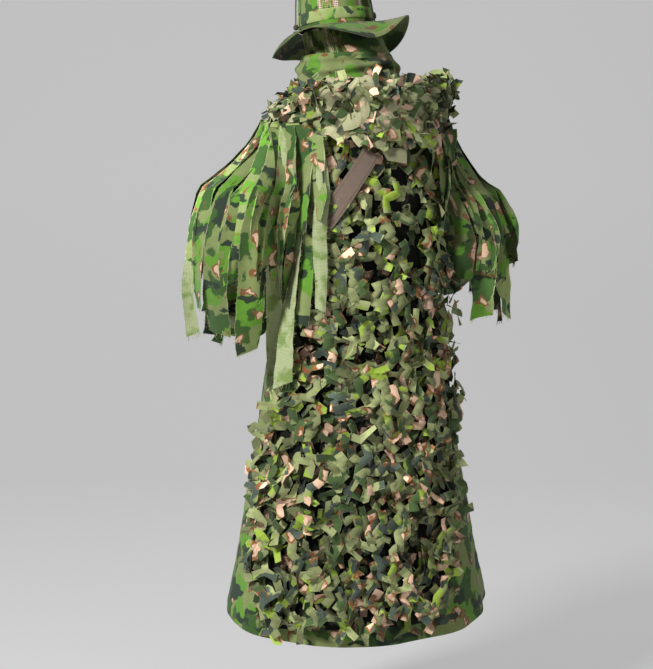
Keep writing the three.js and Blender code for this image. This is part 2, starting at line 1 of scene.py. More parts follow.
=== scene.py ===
"""The looks of the ghillie suit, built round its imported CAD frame.

Metres, +Z up. The wearer faces -Y and +X is the wearer's left; the origin is the base of the neck.
"""

import math
import random

import bpy
import numpy as np
from mathutils import Matrix, Vector, noise


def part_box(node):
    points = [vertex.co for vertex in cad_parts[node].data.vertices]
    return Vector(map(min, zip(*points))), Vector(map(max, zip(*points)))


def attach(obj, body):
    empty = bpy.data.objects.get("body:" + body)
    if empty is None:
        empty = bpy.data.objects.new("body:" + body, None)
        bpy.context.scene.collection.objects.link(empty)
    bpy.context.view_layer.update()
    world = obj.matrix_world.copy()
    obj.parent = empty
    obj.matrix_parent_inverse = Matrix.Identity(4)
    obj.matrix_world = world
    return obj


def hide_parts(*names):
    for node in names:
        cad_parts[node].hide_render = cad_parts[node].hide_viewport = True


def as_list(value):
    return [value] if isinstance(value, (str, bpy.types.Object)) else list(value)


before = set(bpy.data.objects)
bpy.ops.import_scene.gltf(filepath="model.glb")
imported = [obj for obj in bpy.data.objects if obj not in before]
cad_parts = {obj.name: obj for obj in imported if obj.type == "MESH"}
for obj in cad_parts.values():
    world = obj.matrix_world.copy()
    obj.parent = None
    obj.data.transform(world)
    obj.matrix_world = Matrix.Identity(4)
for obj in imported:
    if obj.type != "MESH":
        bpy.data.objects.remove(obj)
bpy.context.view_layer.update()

# ---------- The suit's own numbers, as its CAD solids have them ----------
NECK = {"half_width": 0.082, "half_depth": 0.084, "centre_y": -0.008, "z": -0.005, "rise": 0.012}
SHOULDER = {"half_width": 0.213, "z": -0.055, "back_drop": 0.095}
HEM = {"z": -1.228, "back_drop": 0.044}
ARMHOLE_BOTTOM = -0.250
FRONT_SLOPE = 0.085
FRONT_TOP = {"y": -0.096, "z": -0.025}
# Height, half width of the cloak, and how far its back stands behind the neck.
CLOAK_STATIONS = np.array(
    [
        (-1.320, 0.345, 0.232),
        (-1.100, 0.296, 0.204),
        (-0.800, 0.244, 0.170),
        (-0.550, 0.206, 0.150),
        (-0.400, 0.184, 0.144),
        (-0.250, 0.165, 0.138),
        (-0.140, 0.190, 0.122),
        (-0.050, 0.213, 0.104),
    ]
)
PANEL_EDGE = {"back": 50, "side": 130}
PANEL_EDGE_X = 0.024
# Height, then the net's left and right edges in degrees from the centre of the back.
NET_EDGES = np.array(
    [
        (-1.250, 50, -24),
        (-1.100, 72, -40),
        (-0.800, 78, -56),
        (-0.690, 64, -66),
        (-0.550, 58, -66),
        (-0.400, 52, -58),
        (-0.130, 46, -46),
    ]
)
NET = {"offset": 0.010, "thickness": 0.026, "top": -0.130, "split": -0.550, "bottom": -1.250}
SLEEVE = {"shoulder": 0.064, "elbow": 0.060, "wrist": 0.048, "elbow_at": 0.45}
CAP_TURN = 118
ARMS = {
    "left": np.array([(0.236, 0.006, -0.215), (0.275, 0.024, -0.355), (0.262, -0.042, -0.560)]),
    "right": np.array([(-0.236, 0.006, -0.215), (-0.286, 0.014, -0.350), (-0.284, -0.142, -0.452)]),
}
ARM_FRINGES = [
    dict(name="fringe_left_shoulder", side="left", cap=0.3, bottom=-0.492, outer=0.124, turns=(-74, 112)),
    dict(
        name="fringe_left_elbow", side="left", top=-0.318, bottom=-0.585, inner=0.070, outer=0.088,
        turns=(-80, 120),
    ),
    dict(
        name="fringe_left_forearm", side="left", top=-0.460, bottom=-0.604, inner=0.064, outer=0.074,
        turns=(-70, 80),
    ),
    dict(name="fringe_right_shoulder", side="right", cap=0.3, bottom=-0.452, outer=0.098, turns=(-40, 118)),
    dict(
        name="fringe_right_elbow", side="right", top=-0.330, bottom=-0.588, inner=0.068, outer=0.082,
        turns=(0, 110),
    ),
]
STRAP = {"width": 0.038, "from": (0.018, -0.152), "to": (0.126, -0.338), "offset": 0.040}
HOOD = {
    "path": np.array(
        [
            (0.160, 0.092, -0.016),
            (0.088, 0.150, -0.010),
            (-0.010, 0.166, -0.008),
            (-0.104, 0.150, -0.006),
            (-0.166, 0.096, 0.002),
            (-0.184, 0.014, 0.008),
        ]
    ),
    "radius": 0.030,
    "length": 0.50,
    "flatten": 0.72,
}
HAT = {"centre": (0.036, -0.044, 0.150), "yaw": 3, "pitch": 3, "roll": 5}
CROWN = {"half_width": 0.088, "half_length": 0.101, "height": 0.084, "taper": 0.93}
BRIM = 0.084
BRIM_DROOP = 0.045
# Where the brim departs from that droop: direction in degrees, sharpness and how far down, in metres.
BRIM_BENDS = [(152, 5, -0.062), (215, 2, 0.034), (0, 2, 0.006), (48, 6, -0.034), (100, 8, 0.008)]
BIB = {"half_width": 0.124, "half_depth": 0.102, "centre": (0.018, 0.0), "bottom": 0.008, "top": 0.088}
CORD_DIAMETER = 0.004
CORD_ROUTE = np.array(
    [
        (-0.1010, 0, 0.0150),
        (-0.0992, 0, 0.0315),
        (-0.0974, 0, 0.0480),
        (-0.0956, 0, 0.0645),
        (-0.0932, 0, 0.0800),
        (-0.0860, 0, 0.0930),
        (-0.0720, 0, 0.1005),
        (-0.0520, 0, 0.1030),
        (-0.0260, 0, 0.1036),
        (0.0000, 0, 0.1036),
        (0.0260, 0, 0.1036),
        (0.0520, 0, 0.1030),
        (0.0720, 0, 0.1005),
        (0.0860, 0, 0.0930),
        (0.0932, 0, 0.0800),
        (0.0956, 0, 0.0645),
        (0.0974, 0, 0.0480),
        (0.0992, 0, 0.0315),
        (0.1010, 0, 0.0150),
    ]
)


# ---------- Surfaces: each takes arrays and gives points in the last axis ----------
def vec(*parts):
    return np.stack(np.broadcast_arrays(*parts), axis=-1).astype(float)


def unit(v):
    return v / np.maximum(np.linalg.norm(v, axis=-1, keepdims=True), 1e-9)


def offset(surface, u, v, distance):
    """A surface's points moved out along its normal by a distance."""
    e = 1e-3
    du = surface(u + e, v) - surface(u - e, v)
    dv = surface(u, v + e) - surface(u, v - e)
    return surface(u, v) + unit(np.cross(du, dv)) * np.asarray(distance)[..., None]


FINE_Z = np.arange(-1.34, 0.0, 0.005)
EASE = np.ones(9) / 9


def eased(column):
    """A station column on a fine grid, with its corners rounded off."""
    straight = np.interp(FINE_Z, CLOAK_STATIONS[:, 0], CLOAK_STATIONS[:, column])
    padded = np.pad(straight, 4, mode="edge")
    return np.convolve(padded, EASE, mode="valid")


HALF_WIDTH, BACK = eased(1), eased(2)


def skin(angle, z):
    """The cloak's surface at an angle in degrees from the centre of the back, towards the wearer's left."""
    back = np.interp(z, FINE_Z, BACK)
    front = FRONT_TOP["y"] - FRONT_SLOPE * (FRONT_TOP["z"] - z)
    a = np.radians(angle)
    half = (back - front) / 2
    return vec(np.interp(z, FINE_Z, HALF_WIDTH) * np.sin(a), (back + front) / 2 + half * np.cos(a), z)


def skin_out(angle, z, out):
    angle, z = np.broadcast_arrays(np.asarray(angle, float), np.asarray(z, float))
    surface = lambda a, h: skin(a * 100, -h)
    return offset(surface, angle / 100, -z, np.broadcast_to(out, z.shape))


def hem_z(angle):
    return HEM["z"] - HEM["back_drop"] * np.cos(np.radians(angle))


def yoke_z(angle):
    return SHOULDER["z"] - SHOULDER["back_drop"] * np.cos(np.radians(angle)) ** 2


def yoke(angle, s):
    a = np.radians(angle)
    inner = vec(
        NECK["half_width"] * np.sin(a),
        NECK["centre_y"] + NECK["half_depth"] * np.cos(a),
        NECK["z"] + NECK["rise"] * np.cos(a),
    )
    outer = skin(angle, yoke_z(angle))
    fall = 0.6 * s + 0.4 * s**4
    share = vec(s, s, fall)
    return inner * (1 - share) + outer * share


def centripetal(points, t):
    """A point of the centripetal Catmull-Rom curve that the CAD lofts its sleeves along."""
    points = np.asarray(points, float)
    last = len(points) - 1
    at = np.clip(np.asarray(t, float), 0, 1) * last
    i = np.minimum(at.astype(int), last - 1)
    w = (at - i)[..., None]
    ext = np.vstack([2 * points[0] - points[1], points, 2 * points[-1] - points[-2]])
    p0, p1, p2, p3 = ext[i], ext[i + 1], ext[i + 2], ext[i + 3]
    gap = lambda a, b: np.maximum(np.linalg.norm(b - a, axis=-1, keepdims=True) ** 0.5, 1e-4)
    d0, d1, d2 = gap(p0, p1), gap(p1, p2), gap(p2, p3)
    m1 = ((p1 - p0) / d0 - (p2 - p0) / (d0 + d1) + (p2 - p1) / d1) * d1
    m2 = ((p2 - p1) / d1 - (p3 - p1) / (d1 + d2) + (p3 - p2) / d2) * d1
    return p1 + m1 * w + (3 * (p2 - p1) - 2 * m1 - m2) * w**2 + (2 * (p1 - p2) + m1 + m2) * w**3


def side_sign(side):
    return 1 if side == "left" else -1


def sleeve(side, turn, t, out):
    """A sleeve's surface: turn in degrees round the arm from its outer side towards the back."""
    turn, t = np.broadcast_arrays(np.asarray(turn, float), np.asarray(t, float))
    centre = centripetal(ARMS[side], t)
    ahead = centripetal(ARMS[side], np.minimum(t + 0.01, 1))
    along = unit(ahead - centripetal(ARMS[side], np.maximum(t - 0.01, 0)))
    back = unit(vec(0, -along[..., 2], along[..., 1]))
    outward = unit(np.cross(back, along)) * side_sign(side)
    elbow = SLEEVE["elbow_at"]
    upper = SLEEVE["shoulder"] + (SLEEVE["elbow"] - SLEEVE["shoulder"]) * t / elbow
    lower = SLEEVE["elbow"] + (SLEEVE["wrist"] - SLEEVE["elbow"]) * (t - elbow) / (1 - elbow)
    r = (np.where(t < elbow, upper, lower) + out)[..., None]
    a = np.radians(turn)[..., None]
    return centre + r * (outward * np.cos(a) + back * np.sin(a))


def cap(side, turn, t, out=0.0):
    """The shoulder cap's outside, t being 0 at the yoke and 1 at the sleeve."""
    turn, t = np.broadcast_arrays(np.asarray(turn, float), np.asarray(t, float))
    sign = side_sign(side)

    def surface(at, down):
        share = (CAP_TURN - at * 100) / (2 * CAP_TURN)
        angle = PANEL_EDGE["back"] + 3 + (PANEL_EDGE["side"] - PANEL_EDGE["back"] - 6) * share
        top = skin(sign * angle, yoke_z(angle) - 0.003) + np.array([sign * 0.002, 0, 0])
        bottom = sleeve(side, at * 100, 0 * at, 0) + np.array([0, 0, 0.005])
        bulge = np.sin(np.pi * down) * np.sin(np.pi * share)
        lift = vec(sign * 0.020 * bulge, 0 * bulge, 0.024 * bulge)
        return top + (bottom - top) * down[..., None] + lift

    return offset(surface, turn / 100, t, sign * np.broadcast_to(out, t.shape))


ARM_FINE = np.linspace(0, 1, 201)
ARM_LINES = {side: centripetal(points, ARM_FINE) for side, points in ARMS.items()}


# The length of strip over which it swings out from its seam.
FRINGE_SWING = 0.160


def arm_centre(side, z):
    """The arm's centre at a height; strips on the raised right forearm hang from the elbow."""
    line = ARM_LINES[side][: 201 if side == "left" else 101]
    order = slice(None, None, -1)
    x = np.interp(z, line[order, 2], line[order, 0])
    y = np.interp(z, line[order, 2], line[order, 1])
    return vec(x, y, z)


def arm_fringe(row, turn, z, out, seam_at):
    """A point of a strip on the arm, as it leaves its seam and swings out to the row's outer radius."""
    turn, z = np.broadcast_arrays(np.asarray(turn, float), np.asarray(z, float))
    centre = arm_centre(row["side"], z)
    a = np.radians(turn)
    outward = vec(side_sign(row["side"]) * np.cos(a), np.sin(a), 0)
    out = np.broadcast_to(out, z.shape)[..., None]
    hung = centre + outward * (row["outer"] + out)
    if "cap" in row:
        seam = cap(row["side"], turn, seam_at) + outward * (0.007 + out)
        top = seam[..., 2]
    else:
        seam = centre + outward * (row["inner"] + out)
        top = row["top"]
    fallen = np.clip((top - z) / FRINGE_SWING, 0, 1)
    share = (fallen**1.4)[..., None]
    point = seam + (hung - seam) * share
    point[..., 2] = z
    return point


HAT_FRAME = (
    Matrix.Translation(HAT["centre"])
    @ Matrix.Rotation(math.radians(HAT["yaw"]), 4, "Z")
    @ Matrix.Rotation(math.radians(HAT["roll"]), 4, "Y")
    @ Matrix.Rotation(math.radians(HAT["pitch"]), 4, "X")
)
HAT_TURN = np.array(HAT_FRAME.to_3x3())
HAT_ORIGIN = np.array(HAT_FRAME.translation)


def from_hat(points):
    """Points of the hat's own frame, where its front is -Y and its crown stands on z = 0."""
    return np.asarray(points) @ HAT_TURN.T + HAT_ORIGIN


def crown(angle, z, out=0.0):
    k = 1 + (CROWN["taper"] - 1) * np.minimum(z / CROWN["height"], 1)
    x = (CROWN["half_width"] * k + out) * np.cos(angle)
    y = (CROWN["half_length"] * k + out) * np.sin(angle)
    return vec(x, y, z)


def brim(angle, t, up=0.0):
    """The brim in the hat's frame: turned up at the right rear and bent down at the right front."""
    drop = BRIM_DROOP
    for toward, sharp, depth in BRIM_BENDS:
        drop = drop + depth * np.maximum(0, np.cos(angle - math.radians(toward))) ** sharp
    lean = np.arcsin(np.minimum(drop / BRIM, 0.95)) * (0.35 + 0.65 * t)
    reach = BRIM * t
    base = crown(angle, 0 * t, 0.001 + reach * np.cos(lean))
    base[..., 2] = up - reach * np.sin(lean) - 0.001
    return base


def veil_ring(angle, t, inset):
    """The line from the bib's neck, at t = 0, up to the inside of the hat."""
    top = from_hat(
        vec(
            (CROWN["half_width"] - inset) * np.cos(angle),
            (CROWN["half_length"] - inset) * np.sin(angle),
            0 * angle - 0.004,
        )
    )
    turned = angle + math.radians(HAT["yaw"])
    low = vec(
        BIB["centre"][0] + (BIB["half_width"] - 0.022 - inset) * np.cos(turned),
        BIB["centre"][1] + (BIB["half_depth"] - 0.008 - inset) * np.sin(turned),
        0 * angle + BIB["top"] - 0.020,
    )
    return low + (top - low) * np.asarray(t)[..., None]


# ---------- Cloth meshes ----------
def ripple(points, scale, seed):
    """Smooth noise from -1 to 1 at each point."""
    flat = np.asarray(points, float).reshape(-1, 3)
    shift = Vector((seed * 7.31, seed * 3.17, seed * 1.93))
    values = [noise.noise(Vector(p) * scale + shift) for p in flat]
    return np.array(values).reshape(np.asarray(points).shape[:-1])


def declare_sheet(piece, rows, cols, held, rests_on, closed=False):
    """Read a hanging grid of cloth back from its mesh, closing a ring by repeating its first column; nothing
    is kept.
    """
    mesh = piece.data
    grid = np.array([v.co for v in mesh.vertices]).reshape(rows, cols, 3)
    if closed:
        grid = np.concatenate([grid, grid[:, :1]], axis=1)
    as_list(rests_on)


def grid_faces(rows, cols, closed=False):
    faces = []
    for r in range(rows - 1):
        for c in range(cols if closed else cols - 1):
            n = (c + 1) % cols
            faces.append((r * cols + c, r * cols + n, (r + 1) * cols + n, (r + 1) * cols + c))
    return faces


class Cloth:
    """Patches of cloth gathered into one mesh. Each point keeps its place on the flat cloth, in metres."""

    def __init__(self):
        self.points, self.flat, self.tone, self.edge, self.patch = [], [], [], [], []
        self.faces, self.slots = [], []
        self.patches = 0

    def add(self, points, faces, flat, tone=1.0, slot=0, edge=0.0):
        points = np.asarray(points, float).reshape(-1, 3)
        flat = np.asarray(flat, float).reshape(-1, 3)
        base = sum(len(p) for p in self.points)
        self.points.append(points)
        self.flat.append(flat)
        self.tone.append(np.broadcast_to(tone, len(points)).astype(float))
        self.edge.append(np.broadcast_to(edge, len(points)).astype(float))
        self.patch.append(np.full(len(points), self.patches))
        self.faces.extend([tuple(base + i for i in f) for f in faces])
        self.slots.extend([slot] * len(faces))
        self.patches += 1

    def sheet(self, points, flat, tone=1.0, slot=0, closed=False, edge=0.0):
        """A grid of points, of shape rows by columns by 3."""
        rows, cols = points.shape[:2]
        tone = np.broadcast_to(tone, (rows, cols)).ravel()
        edge = np.broadcast_to(edge, (rows, cols)).ravel()
        self.add(points, grid_faces(rows, cols, closed), flat, tone, slot, edge)

    def bake_layout(self):
        """A UV place for every point: each patch lies flat in its own square of a grid."""
        flat = np.concatenate(self.flat)
        patch = np.concatenate(self.patch)
        across = math.ceil(math.sqrt(self.patches))
        low = np.full((self.patches, 2), np.inf)
        high = np.full((self.patches, 2), -np.inf)
        np.minimum.at(low, patch, flat[:, :2])
        np.maximum.at(high, patch, flat[:, :2])
        size = np.maximum((high - low).max(axis=1), 1e-4)
        inside = (flat[:, :2] - low[patch]) / size[patch][:, None]
        if self.patches == 1:
            inside = (flat[:, :2] - low[0]) / np.maximum(high[0] - low[0], 1e-4)
        cell = np.stack([patch % across, patch // across], axis=1)
        return (cell + 0.04 + 0.92 * inside) / across

    def build(self, name, materials, body, replaces, smooth=True):
        mesh = bpy.data.meshes.new(name)
        points = np.concatenate(self.points)
        mesh.from_pydata(points.tolist(), [], self.faces)
        flat = mesh.attributes.new("flat", "FLOAT_VECTOR", "POINT")
        flat.data.foreach_set("vector", np.concatenate(self.flat).astype(np.float32).ravel())
        # tone multiplies each point's colour: random tone from piece to piece, painted shade on pieces that
        # lie under or behind others, and painted light on the outermost strips.
        for key, values in (("tone", self.tone), ("edge", self.edge)):
            layer = mesh.attributes.new(key, "FLOAT", "POINT")
            layer.data.foreach_set("value", np.concatenate(values).astype(np.float32))
        loops = np.zeros(len(mesh.loops), np.int32)
        mesh.loops.foreach_get("vertex_index", loops)
        layer = mesh.uv_layers.new(name="OFBake")
        layer.data.foreach_set("uv", self.bake_layout()[loops].astype(np.float32).ravel())
        for material in materials:
            mesh.materials.append(material)
        mesh.polygons.foreach_set("material_index", np.array(self.slots, np.int32))
        mesh.polygons.foreach_set("use_smooth", np.full(len(self.faces), smooth))
        mesh.update()
        piece = bpy.data.objects.new(name, mesh)
        bpy.context.scene.collection.objects.link(piece)
        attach(piece, body)
        if replaces:
            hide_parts(*replaces)
        return piece


def cloth_piece(name, points, flat, material, replaces, slot, body="cloak", closed=False, tone=1.0):
    """One grid of cloth as a piece of its own."""
    cloth = Cloth()
    cloth.sheet(points, flat, tone=tone, closed=closed)
    return cloth.build(name, [material], body, replaces)


def sheet_piece(name, points, flat, material, replaces, slot, held, rests_on, closed=False, **settings):
    """One grid of cloth as a piece of its own."""
    piece = cloth_piece(name, points, flat, material, replaces, slot, closed=closed, **settings)
    declare_sheet(piece, *points.shape[:2], held, rests_on, closed)


# ---------- Materials ----------
def linear(code):
    """A linear RGBA colour from an sRGB hex code."""
    parts = [int(code[i : i + 2], 16) / 255 for i in (0, 2, 4)]
    return tuple(c / 12.92 if c <= 0.04045 else ((c + 0.055) / 1.055) ** 2.4 for c in parts) + (1.0,)


class Shader:
    """A material's node tree, with short calls for adding and linking nodes."""

    def __init__(self, name, roughness=0.85, metallic=0.0, specular=0.3, sheen=0.0):
        self.material = bpy.data.materials.new(name)
        self.material.use_nodes = True
        self.tree = self.material.node_tree
        self.bsdf = self.tree.nodes["Principled BSDF"]
        self.bsdf.inputs["Roughness"].default_value = roughness
        self.bsdf.inputs["Metallic"].default_value = metallic
        self.bsdf.inputs["Specular IOR Level"].default_value = specular
        self.bsdf.inputs["Sheen Weight"].default_value = sheen

    def put(self, socket, value):
        if isinstance(value, bpy.types.NodeSocket):
            self.tree.links.new(value, socket)
        else:
            socket.default_value = value

    def node(self, kind, settings=None, inputs=None):
        made = self.tree.nodes.new(kind)
        for key, value in (settings or {}).items():
            setattr(made, key, value)
        for key, value in (inputs or {}).items():
            self.put(made.inputs[key], value)
        return made

    def math(self, operation, a, b=0.0, c=0.0):
        made = self.node("ShaderNodeMath", {"operation": operation})
        for socket, value in zip(made.inputs, (a, b, c)):
            self.put(socket, value)
        return made.outputs[0]

    def vector(self, operation, a, b=(0, 0, 0)):
        made = self.node("ShaderNodeVectorMath", {"operation": operation})
        self.put(made.inputs[0], a)
        self.put(made.inputs[1], b)
        return made.outputs[0]

    def attribute(self, name, output="Fac"):
        return self.node("ShaderNodeAttribute", {"attribute_name": name}).outputs[output]

    def parts(self, vector):
        return self.node("ShaderNodeSeparateXYZ", inputs={0: vector}).outputs

    def wave(self, value, period):
        return self.math("SINE", self.math("MULTIPLY", value, 2 * math.pi / period))

    def noise(self, vector, scale, detail=2.0, roughness=0.5):
        return self.node(
            "ShaderNodeTexNoise",
            inputs={"Vector": vector, "Scale": scale, "Detail": detail, "Roughness": roughness},
        )

    def step(self, value, edge, soft=0.012):
        """0 below the edge and 1 above it, with a narrow slope between."""
        ends = {"Value": value, "From Min": edge - soft, "From Max": edge + soft}
        return self.node("ShaderNodeMapRange", inputs=ends).outputs[0]

    def mix(self, share, a, b, blend="MIX"):
        made = self.node("ShaderNodeMix", {"data_type": "RGBA", "blend_type": blend})
        self.put(made.inputs[0], share)
        self.put(made.inputs[6], a)
        self.put(made.inputs[7], b)
        return made.outputs[2]

    def bump(self, height, strength, distance):
        inputs = {"Height": height, "Strength": strength, "Distance": distance}
        self.put(self.bsdf.inputs["Normal"], self.node("ShaderNodeBump", inputs=inputs).outputs[0])

    def colour(self, value):
        self.put(self.bsdf.inputs["Base Color"], value)

    def shaded(self, value, shade):
        """The base colour, darkened or lightened by a shade."""
        grey = self.node("ShaderNodeCombineColor", inputs={0: shade, 1: shade, 2: shade}).outputs[0]
        self.colour(self.mix(1.0, value, grey, "MULTIPLY"))


# Colour, blob size per metre, the noise level the blob starts at, and how far the blobs are stretched.
WOODLAND = [
    ("5f8f2f", 13.0, 0.545, (1.0, 1.5)),
    ("3c5a2a", 15.0, 0.56, (1.3, 0.9)),
    ("7c5236", 21.0, 0.62, (1.2, 0.9)),
    ("cfae92", 21.0, 0.675, (1.2, 0.9)),
    ("2c3a2c", 18.0, 0.605, (0.7, 1.6)),
]
NET_PRINT = [
    ("8fa83e", 13.0, 0.585, (1.0, 1.3)),
    ("465a33", 12.0, 0.56, (1.0, 0.9)),
    ("475248", 14.0, 0.595, (1.2, 1.0)),
    ("85532f", 16.0, 0.60, (1.2, 1.0)),
    ("dcb89c", 16.0, 0.635, (1.2, 1.0)),
]
# Each later layer reads its own part of the noise, but a pale patch sits inside the brown one before it.
BLOB_PLACE = (0.0, 1.0, 2.0, 3.0, 3.0)


COTTON_THREAD = 0.0013
EDGE_COLOUR = "c9c6a0"


def camouflage(name, base, blobs, order=BLOB_PLACE, weave=1.0, edge_share=0.55):
    """Printed cotton: blobs of colour over a base colour, on the cloth's flat coordinates, finely woven."""
    s = Shader(name, roughness=0.88, specular=0.22, sheen=0.12)
    flat = s.attribute("flat", "Vector")
    wobble = s.noise(flat, 36.0, 2.0, 0.55).outputs["Color"]
    wobble = s.vector("SCALE", s.vector("SUBTRACT", wobble, (0.5, 0.5, 0.5)))
    wobble.node.inputs["Scale"].default_value = 0.034
    place = s.vector("ADD", flat, wobble)
    colour = linear(base)
    for i, (code, size, level, (sx, sy)) in zip(order, blobs):
        stretched = s.vector("MULTIPLY", place, (sx, sy, 1.0))
        shifted = s.vector("ADD", stretched, (3.7 * i + 1.3, 2.9 * i, 0.7 * i))
        blob = s.noise(shifted, size, 1.3, 0.45).outputs["Fac"]
        colour = s.mix(s.step(blob, level), colour, linear(code))
    faded = s.noise(flat, 55.0, 3.0, 0.6).outputs["Fac"]
    ragged = s.math("MULTIPLY_ADD", faded, 0.22, s.attribute("edge"))
    cut = s.math("MULTIPLY", s.step(ragged, 1.085, 0.02), edge_share)
    colour = s.mix(cut, colour, linear(EDGE_COLOUR))
    shade = s.math("MULTIPLY_ADD", faded, 0.44, 0.78)
    # The tone attribute brings in random tone, and also the painted shade and painted light that pieces carry
    # in it.
    s.shaded(colour, s.math("MULTIPLY", shade, s.attribute("tone")))
    parts = s.parts(flat)
    threads = s.math("MULTIPLY", s.wave(parts[0], COTTON_THREAD), s.wave(parts[1], COTTON_THREAD))
    slub = s.noise(flat, 420.0, 2.0, 0.6).outputs["Fac"]
    s.bump(s.math("MULTIPLY_ADD", threads, 0.35, slub), 0.35 * weave, 0.0006)
    return s.material


def plain_cloth(name, code, depth=0.35, pitch=0.0016, variation=0.3):
    """One colour of cloth with visible threads and a little uneven fading."""
    s = Shader(name, roughness=0.9, specular=0.2, sheen=0.1)
    flat = s.attribute("flat", "Vector")
    patchy = s.noise(flat, 60.0, 3.0, 0.6).outputs["Fac"]
    parts = s.parts(flat)
    threads = s.math("MULTIPLY", s.wave(parts[0], pitch), s.wave(parts[1], pitch))
    shade = s.math("MULTIPLY_ADD", patchy, variation, 1 - variation / 2)
    # The tone attribute brings in random tone, and on frayed threads the painted shade and light of their
    # strips' layers.
    shade = s.math("MULTIPLY", shade, s.attribute("tone"))
    s.shaded(linear(code), s.math("MULTIPLY", shade, s.math("MULTIPLY_ADD", threads, 0.10, 0.95)))
    s.bump(threads, depth, 0.0005)
    return s.material


def scrim(name, pale, dark):
    """Open-weave gauze: pale threads both ways with the shade showing between them."""
    s = Shader(name, roughness=0.95, specular=0.15, sheen=0.1)
    flat = s.attribute("flat", "Vector")
    wander = s.vector("MULTIPLY", s.noise(flat, 45.0, 1.0).outputs["Color"], (0.004, 0.004, 0.0))
    parts = s.parts(s.vector("ADD", flat, wander))
    lines = [s.math("ABSOLUTE", s.wave(parts[k], 0.0064)) for k in (0, 1)]
    thread = s.math("MAXIMUM", lines[0], lines[1])
    covered = s.step(thread, 0.72, 0.16)
    patchy = s.noise(flat, 22.0, 3.0, 0.6).outputs["Fac"]
    tint = s.mix(s.step(patchy, 0.56, 0.06), linear(pale), linear("7e9352"))
    s.colour(s.mix(s.math("MULTIPLY_ADD", covered, 0.62, 0.38), linear(dark), tint))
    s.bump(thread, 0.5, 0.0008)
    return s.material


def veil_mesh(name):
    """Printed knitted mesh: stripes of green, brown and a pale pink, in rows of holes painted near-black as
    the shade seen through them.
    """
    s = Shader(name, roughness=0.9, specular=0.2)
    flat = s.attribute("flat", "Vector")
    stripes = s.noise(s.vector("MULTIPLY", flat, (1.0, 0.28, 1.0)), 46.0, 1.5).outputs["Fac"]
    colour = s.mix(s.step(stripes, 0.47, 0.02), linear("4a5a30"), linear("8aa05a"))
    colour = s.mix(s.step(stripes, 0.54, 0.02), colour, linear("8d6548"))
    colour = s.mix(s.step(stripes, 0.57, 0.02), colour, linear("c9b9a4"))
    parts = s.parts(flat)
    waves = [s.math("ABSOLUTE", s.wave(parts[k], 0.0084)) for k in (0, 1)]
    holes = s.math("MULTIPLY", waves[0], waves[1])
    # The holes are painted near-black: painted shade of the inside seen through the mesh.
    s.colour(s.mix(s.step(holes, 0.62, 0.08), colour, linear("12150f")))
    s.bump(holes, -0.6, 0.0008)
    return s.material


def webbing(name, code):
    """Woven tape: fine ribs across it, and faint lengthwise lines."""
    s = Shader(name, roughness=0.78, specular=0.3, sheen=0.1)
    flat = s.attribute("flat", "Vector")
    parts = s.parts(flat)
    ribs = s.wave(parts[1], 0.0021)
    worn = s.noise(flat, 70.0, 3.0, 0.6).outputs["Fac"]
    s.shaded(linear(code), s.math("MULTIPLY_ADD", ribs, 0.07, s.math("MULTIPLY_ADD", worn, 0.35, 0.8)))
    s.bump(s.math("MULTIPLY_ADD", s.wave(parts[0], 0.0034), 0.5, ribs), 0.6, 0.0004)
    return s.material


def object_material(name, code, roughness, metallic=0.0):
    """Metal or moulded plastic for the small CAD fittings, worn a little unevenly."""
    s = Shader(name, roughness=roughness, metallic=metallic, specular=0.5)
    place = s.node("ShaderNodeTexCoord").outputs["Object"]
    worn = s.noise(place, 180.0, 3.0, 0.6).outputs["Fac"]
    rubbed = tuple(min(1, c * 1.9 + 0.01) for c in linear(code)[:3]) + (1.0,)
    s.colour(s.mix(worn, linear(code), rubbed))
    s.bump(worn, 0.15, 0.0003)
    return s.material


def woven_fitting(name, code, pitch=0.0016):
    """Woven tape or braid for a small CAD fitting, placed by the object's own coordinates."""
    s = Shader(name, roughness=0.9, specular=0.2, sheen=0.1)
    place = s.node("ShaderNodeTexCoord").outputs["Object"]
    parts = s.parts(place)
    across = s.wave(s.math("ADD", parts[0], parts[2]), pitch)
    along = s.wave(s.math("SUBTRACT", parts[0], parts[2]), pitch)
    threads = s.math("MULTIPLY", across, along)
    faded = s.noise(place, 140.0, 2.0, 0.5).outputs["Fac"]
    shade = s.math("MULTIPLY_ADD", faded, 0.5, 0.72)
    s.shaded(linear(code), s.math("MULTIPLY_ADD", threads, 0.10, shade))
    s.bump(threads, 0.4, 0.0005)
    return s.material


MAT = {
    "cloth": camouflage("camouflage_cloth", "7d8a55", WOODLAND, (0, 1, 3, 3, 4)),
    "net": camouflage("camouflage_net", "8b9263", NET_PRINT, weave=0.7, edge_share=0.6),
    "khaki": camouflage("net_reverse", "a3a27d", [NET_PRINT[1], NET_PRINT[4]], (1, 4), weave=0.7),
    # Near-black for the net's dark backing mesh, and for the painted shadow sheet behind the lower net.
    "dark": plain_cloth("dark_backing_and_painted_shade", "12150f", depth=0.2, variation=0.5),
    "scrim": scrim("scrim_gauze", "aab488", "4c5836"),
    "fray": plain_cloth("frayed_thread", "9aa478", depth=0.1),
    "leaf": plain_cloth("leaf_cloth", "98a56c", depth=0.4, variation=0.5),
    "veil": veil_mesh("veil_mesh"),
    "strap": webbing("brown_webbing", "7a685c"),
    "thread": plain_cloth("stitching", "6c7350", depth=0.1),
    "cord": plain_cloth("braided_cord", "5c5744", depth=0.5, pitch=0.003),
    "metal": object_material("dark_metal", "4d4c46", 0.38, 1.0),
    "plastic": object_material("zip_plastic", "2b2d25", 0.45),
    "tape": woven_fitting("zip_tape", "59633f"),
    "loop": woven_fitting("hanger_tape", "6e6152"),
    "braid": woven_fitting("braided_fitting", "4f4b3b", 0.0024),
}


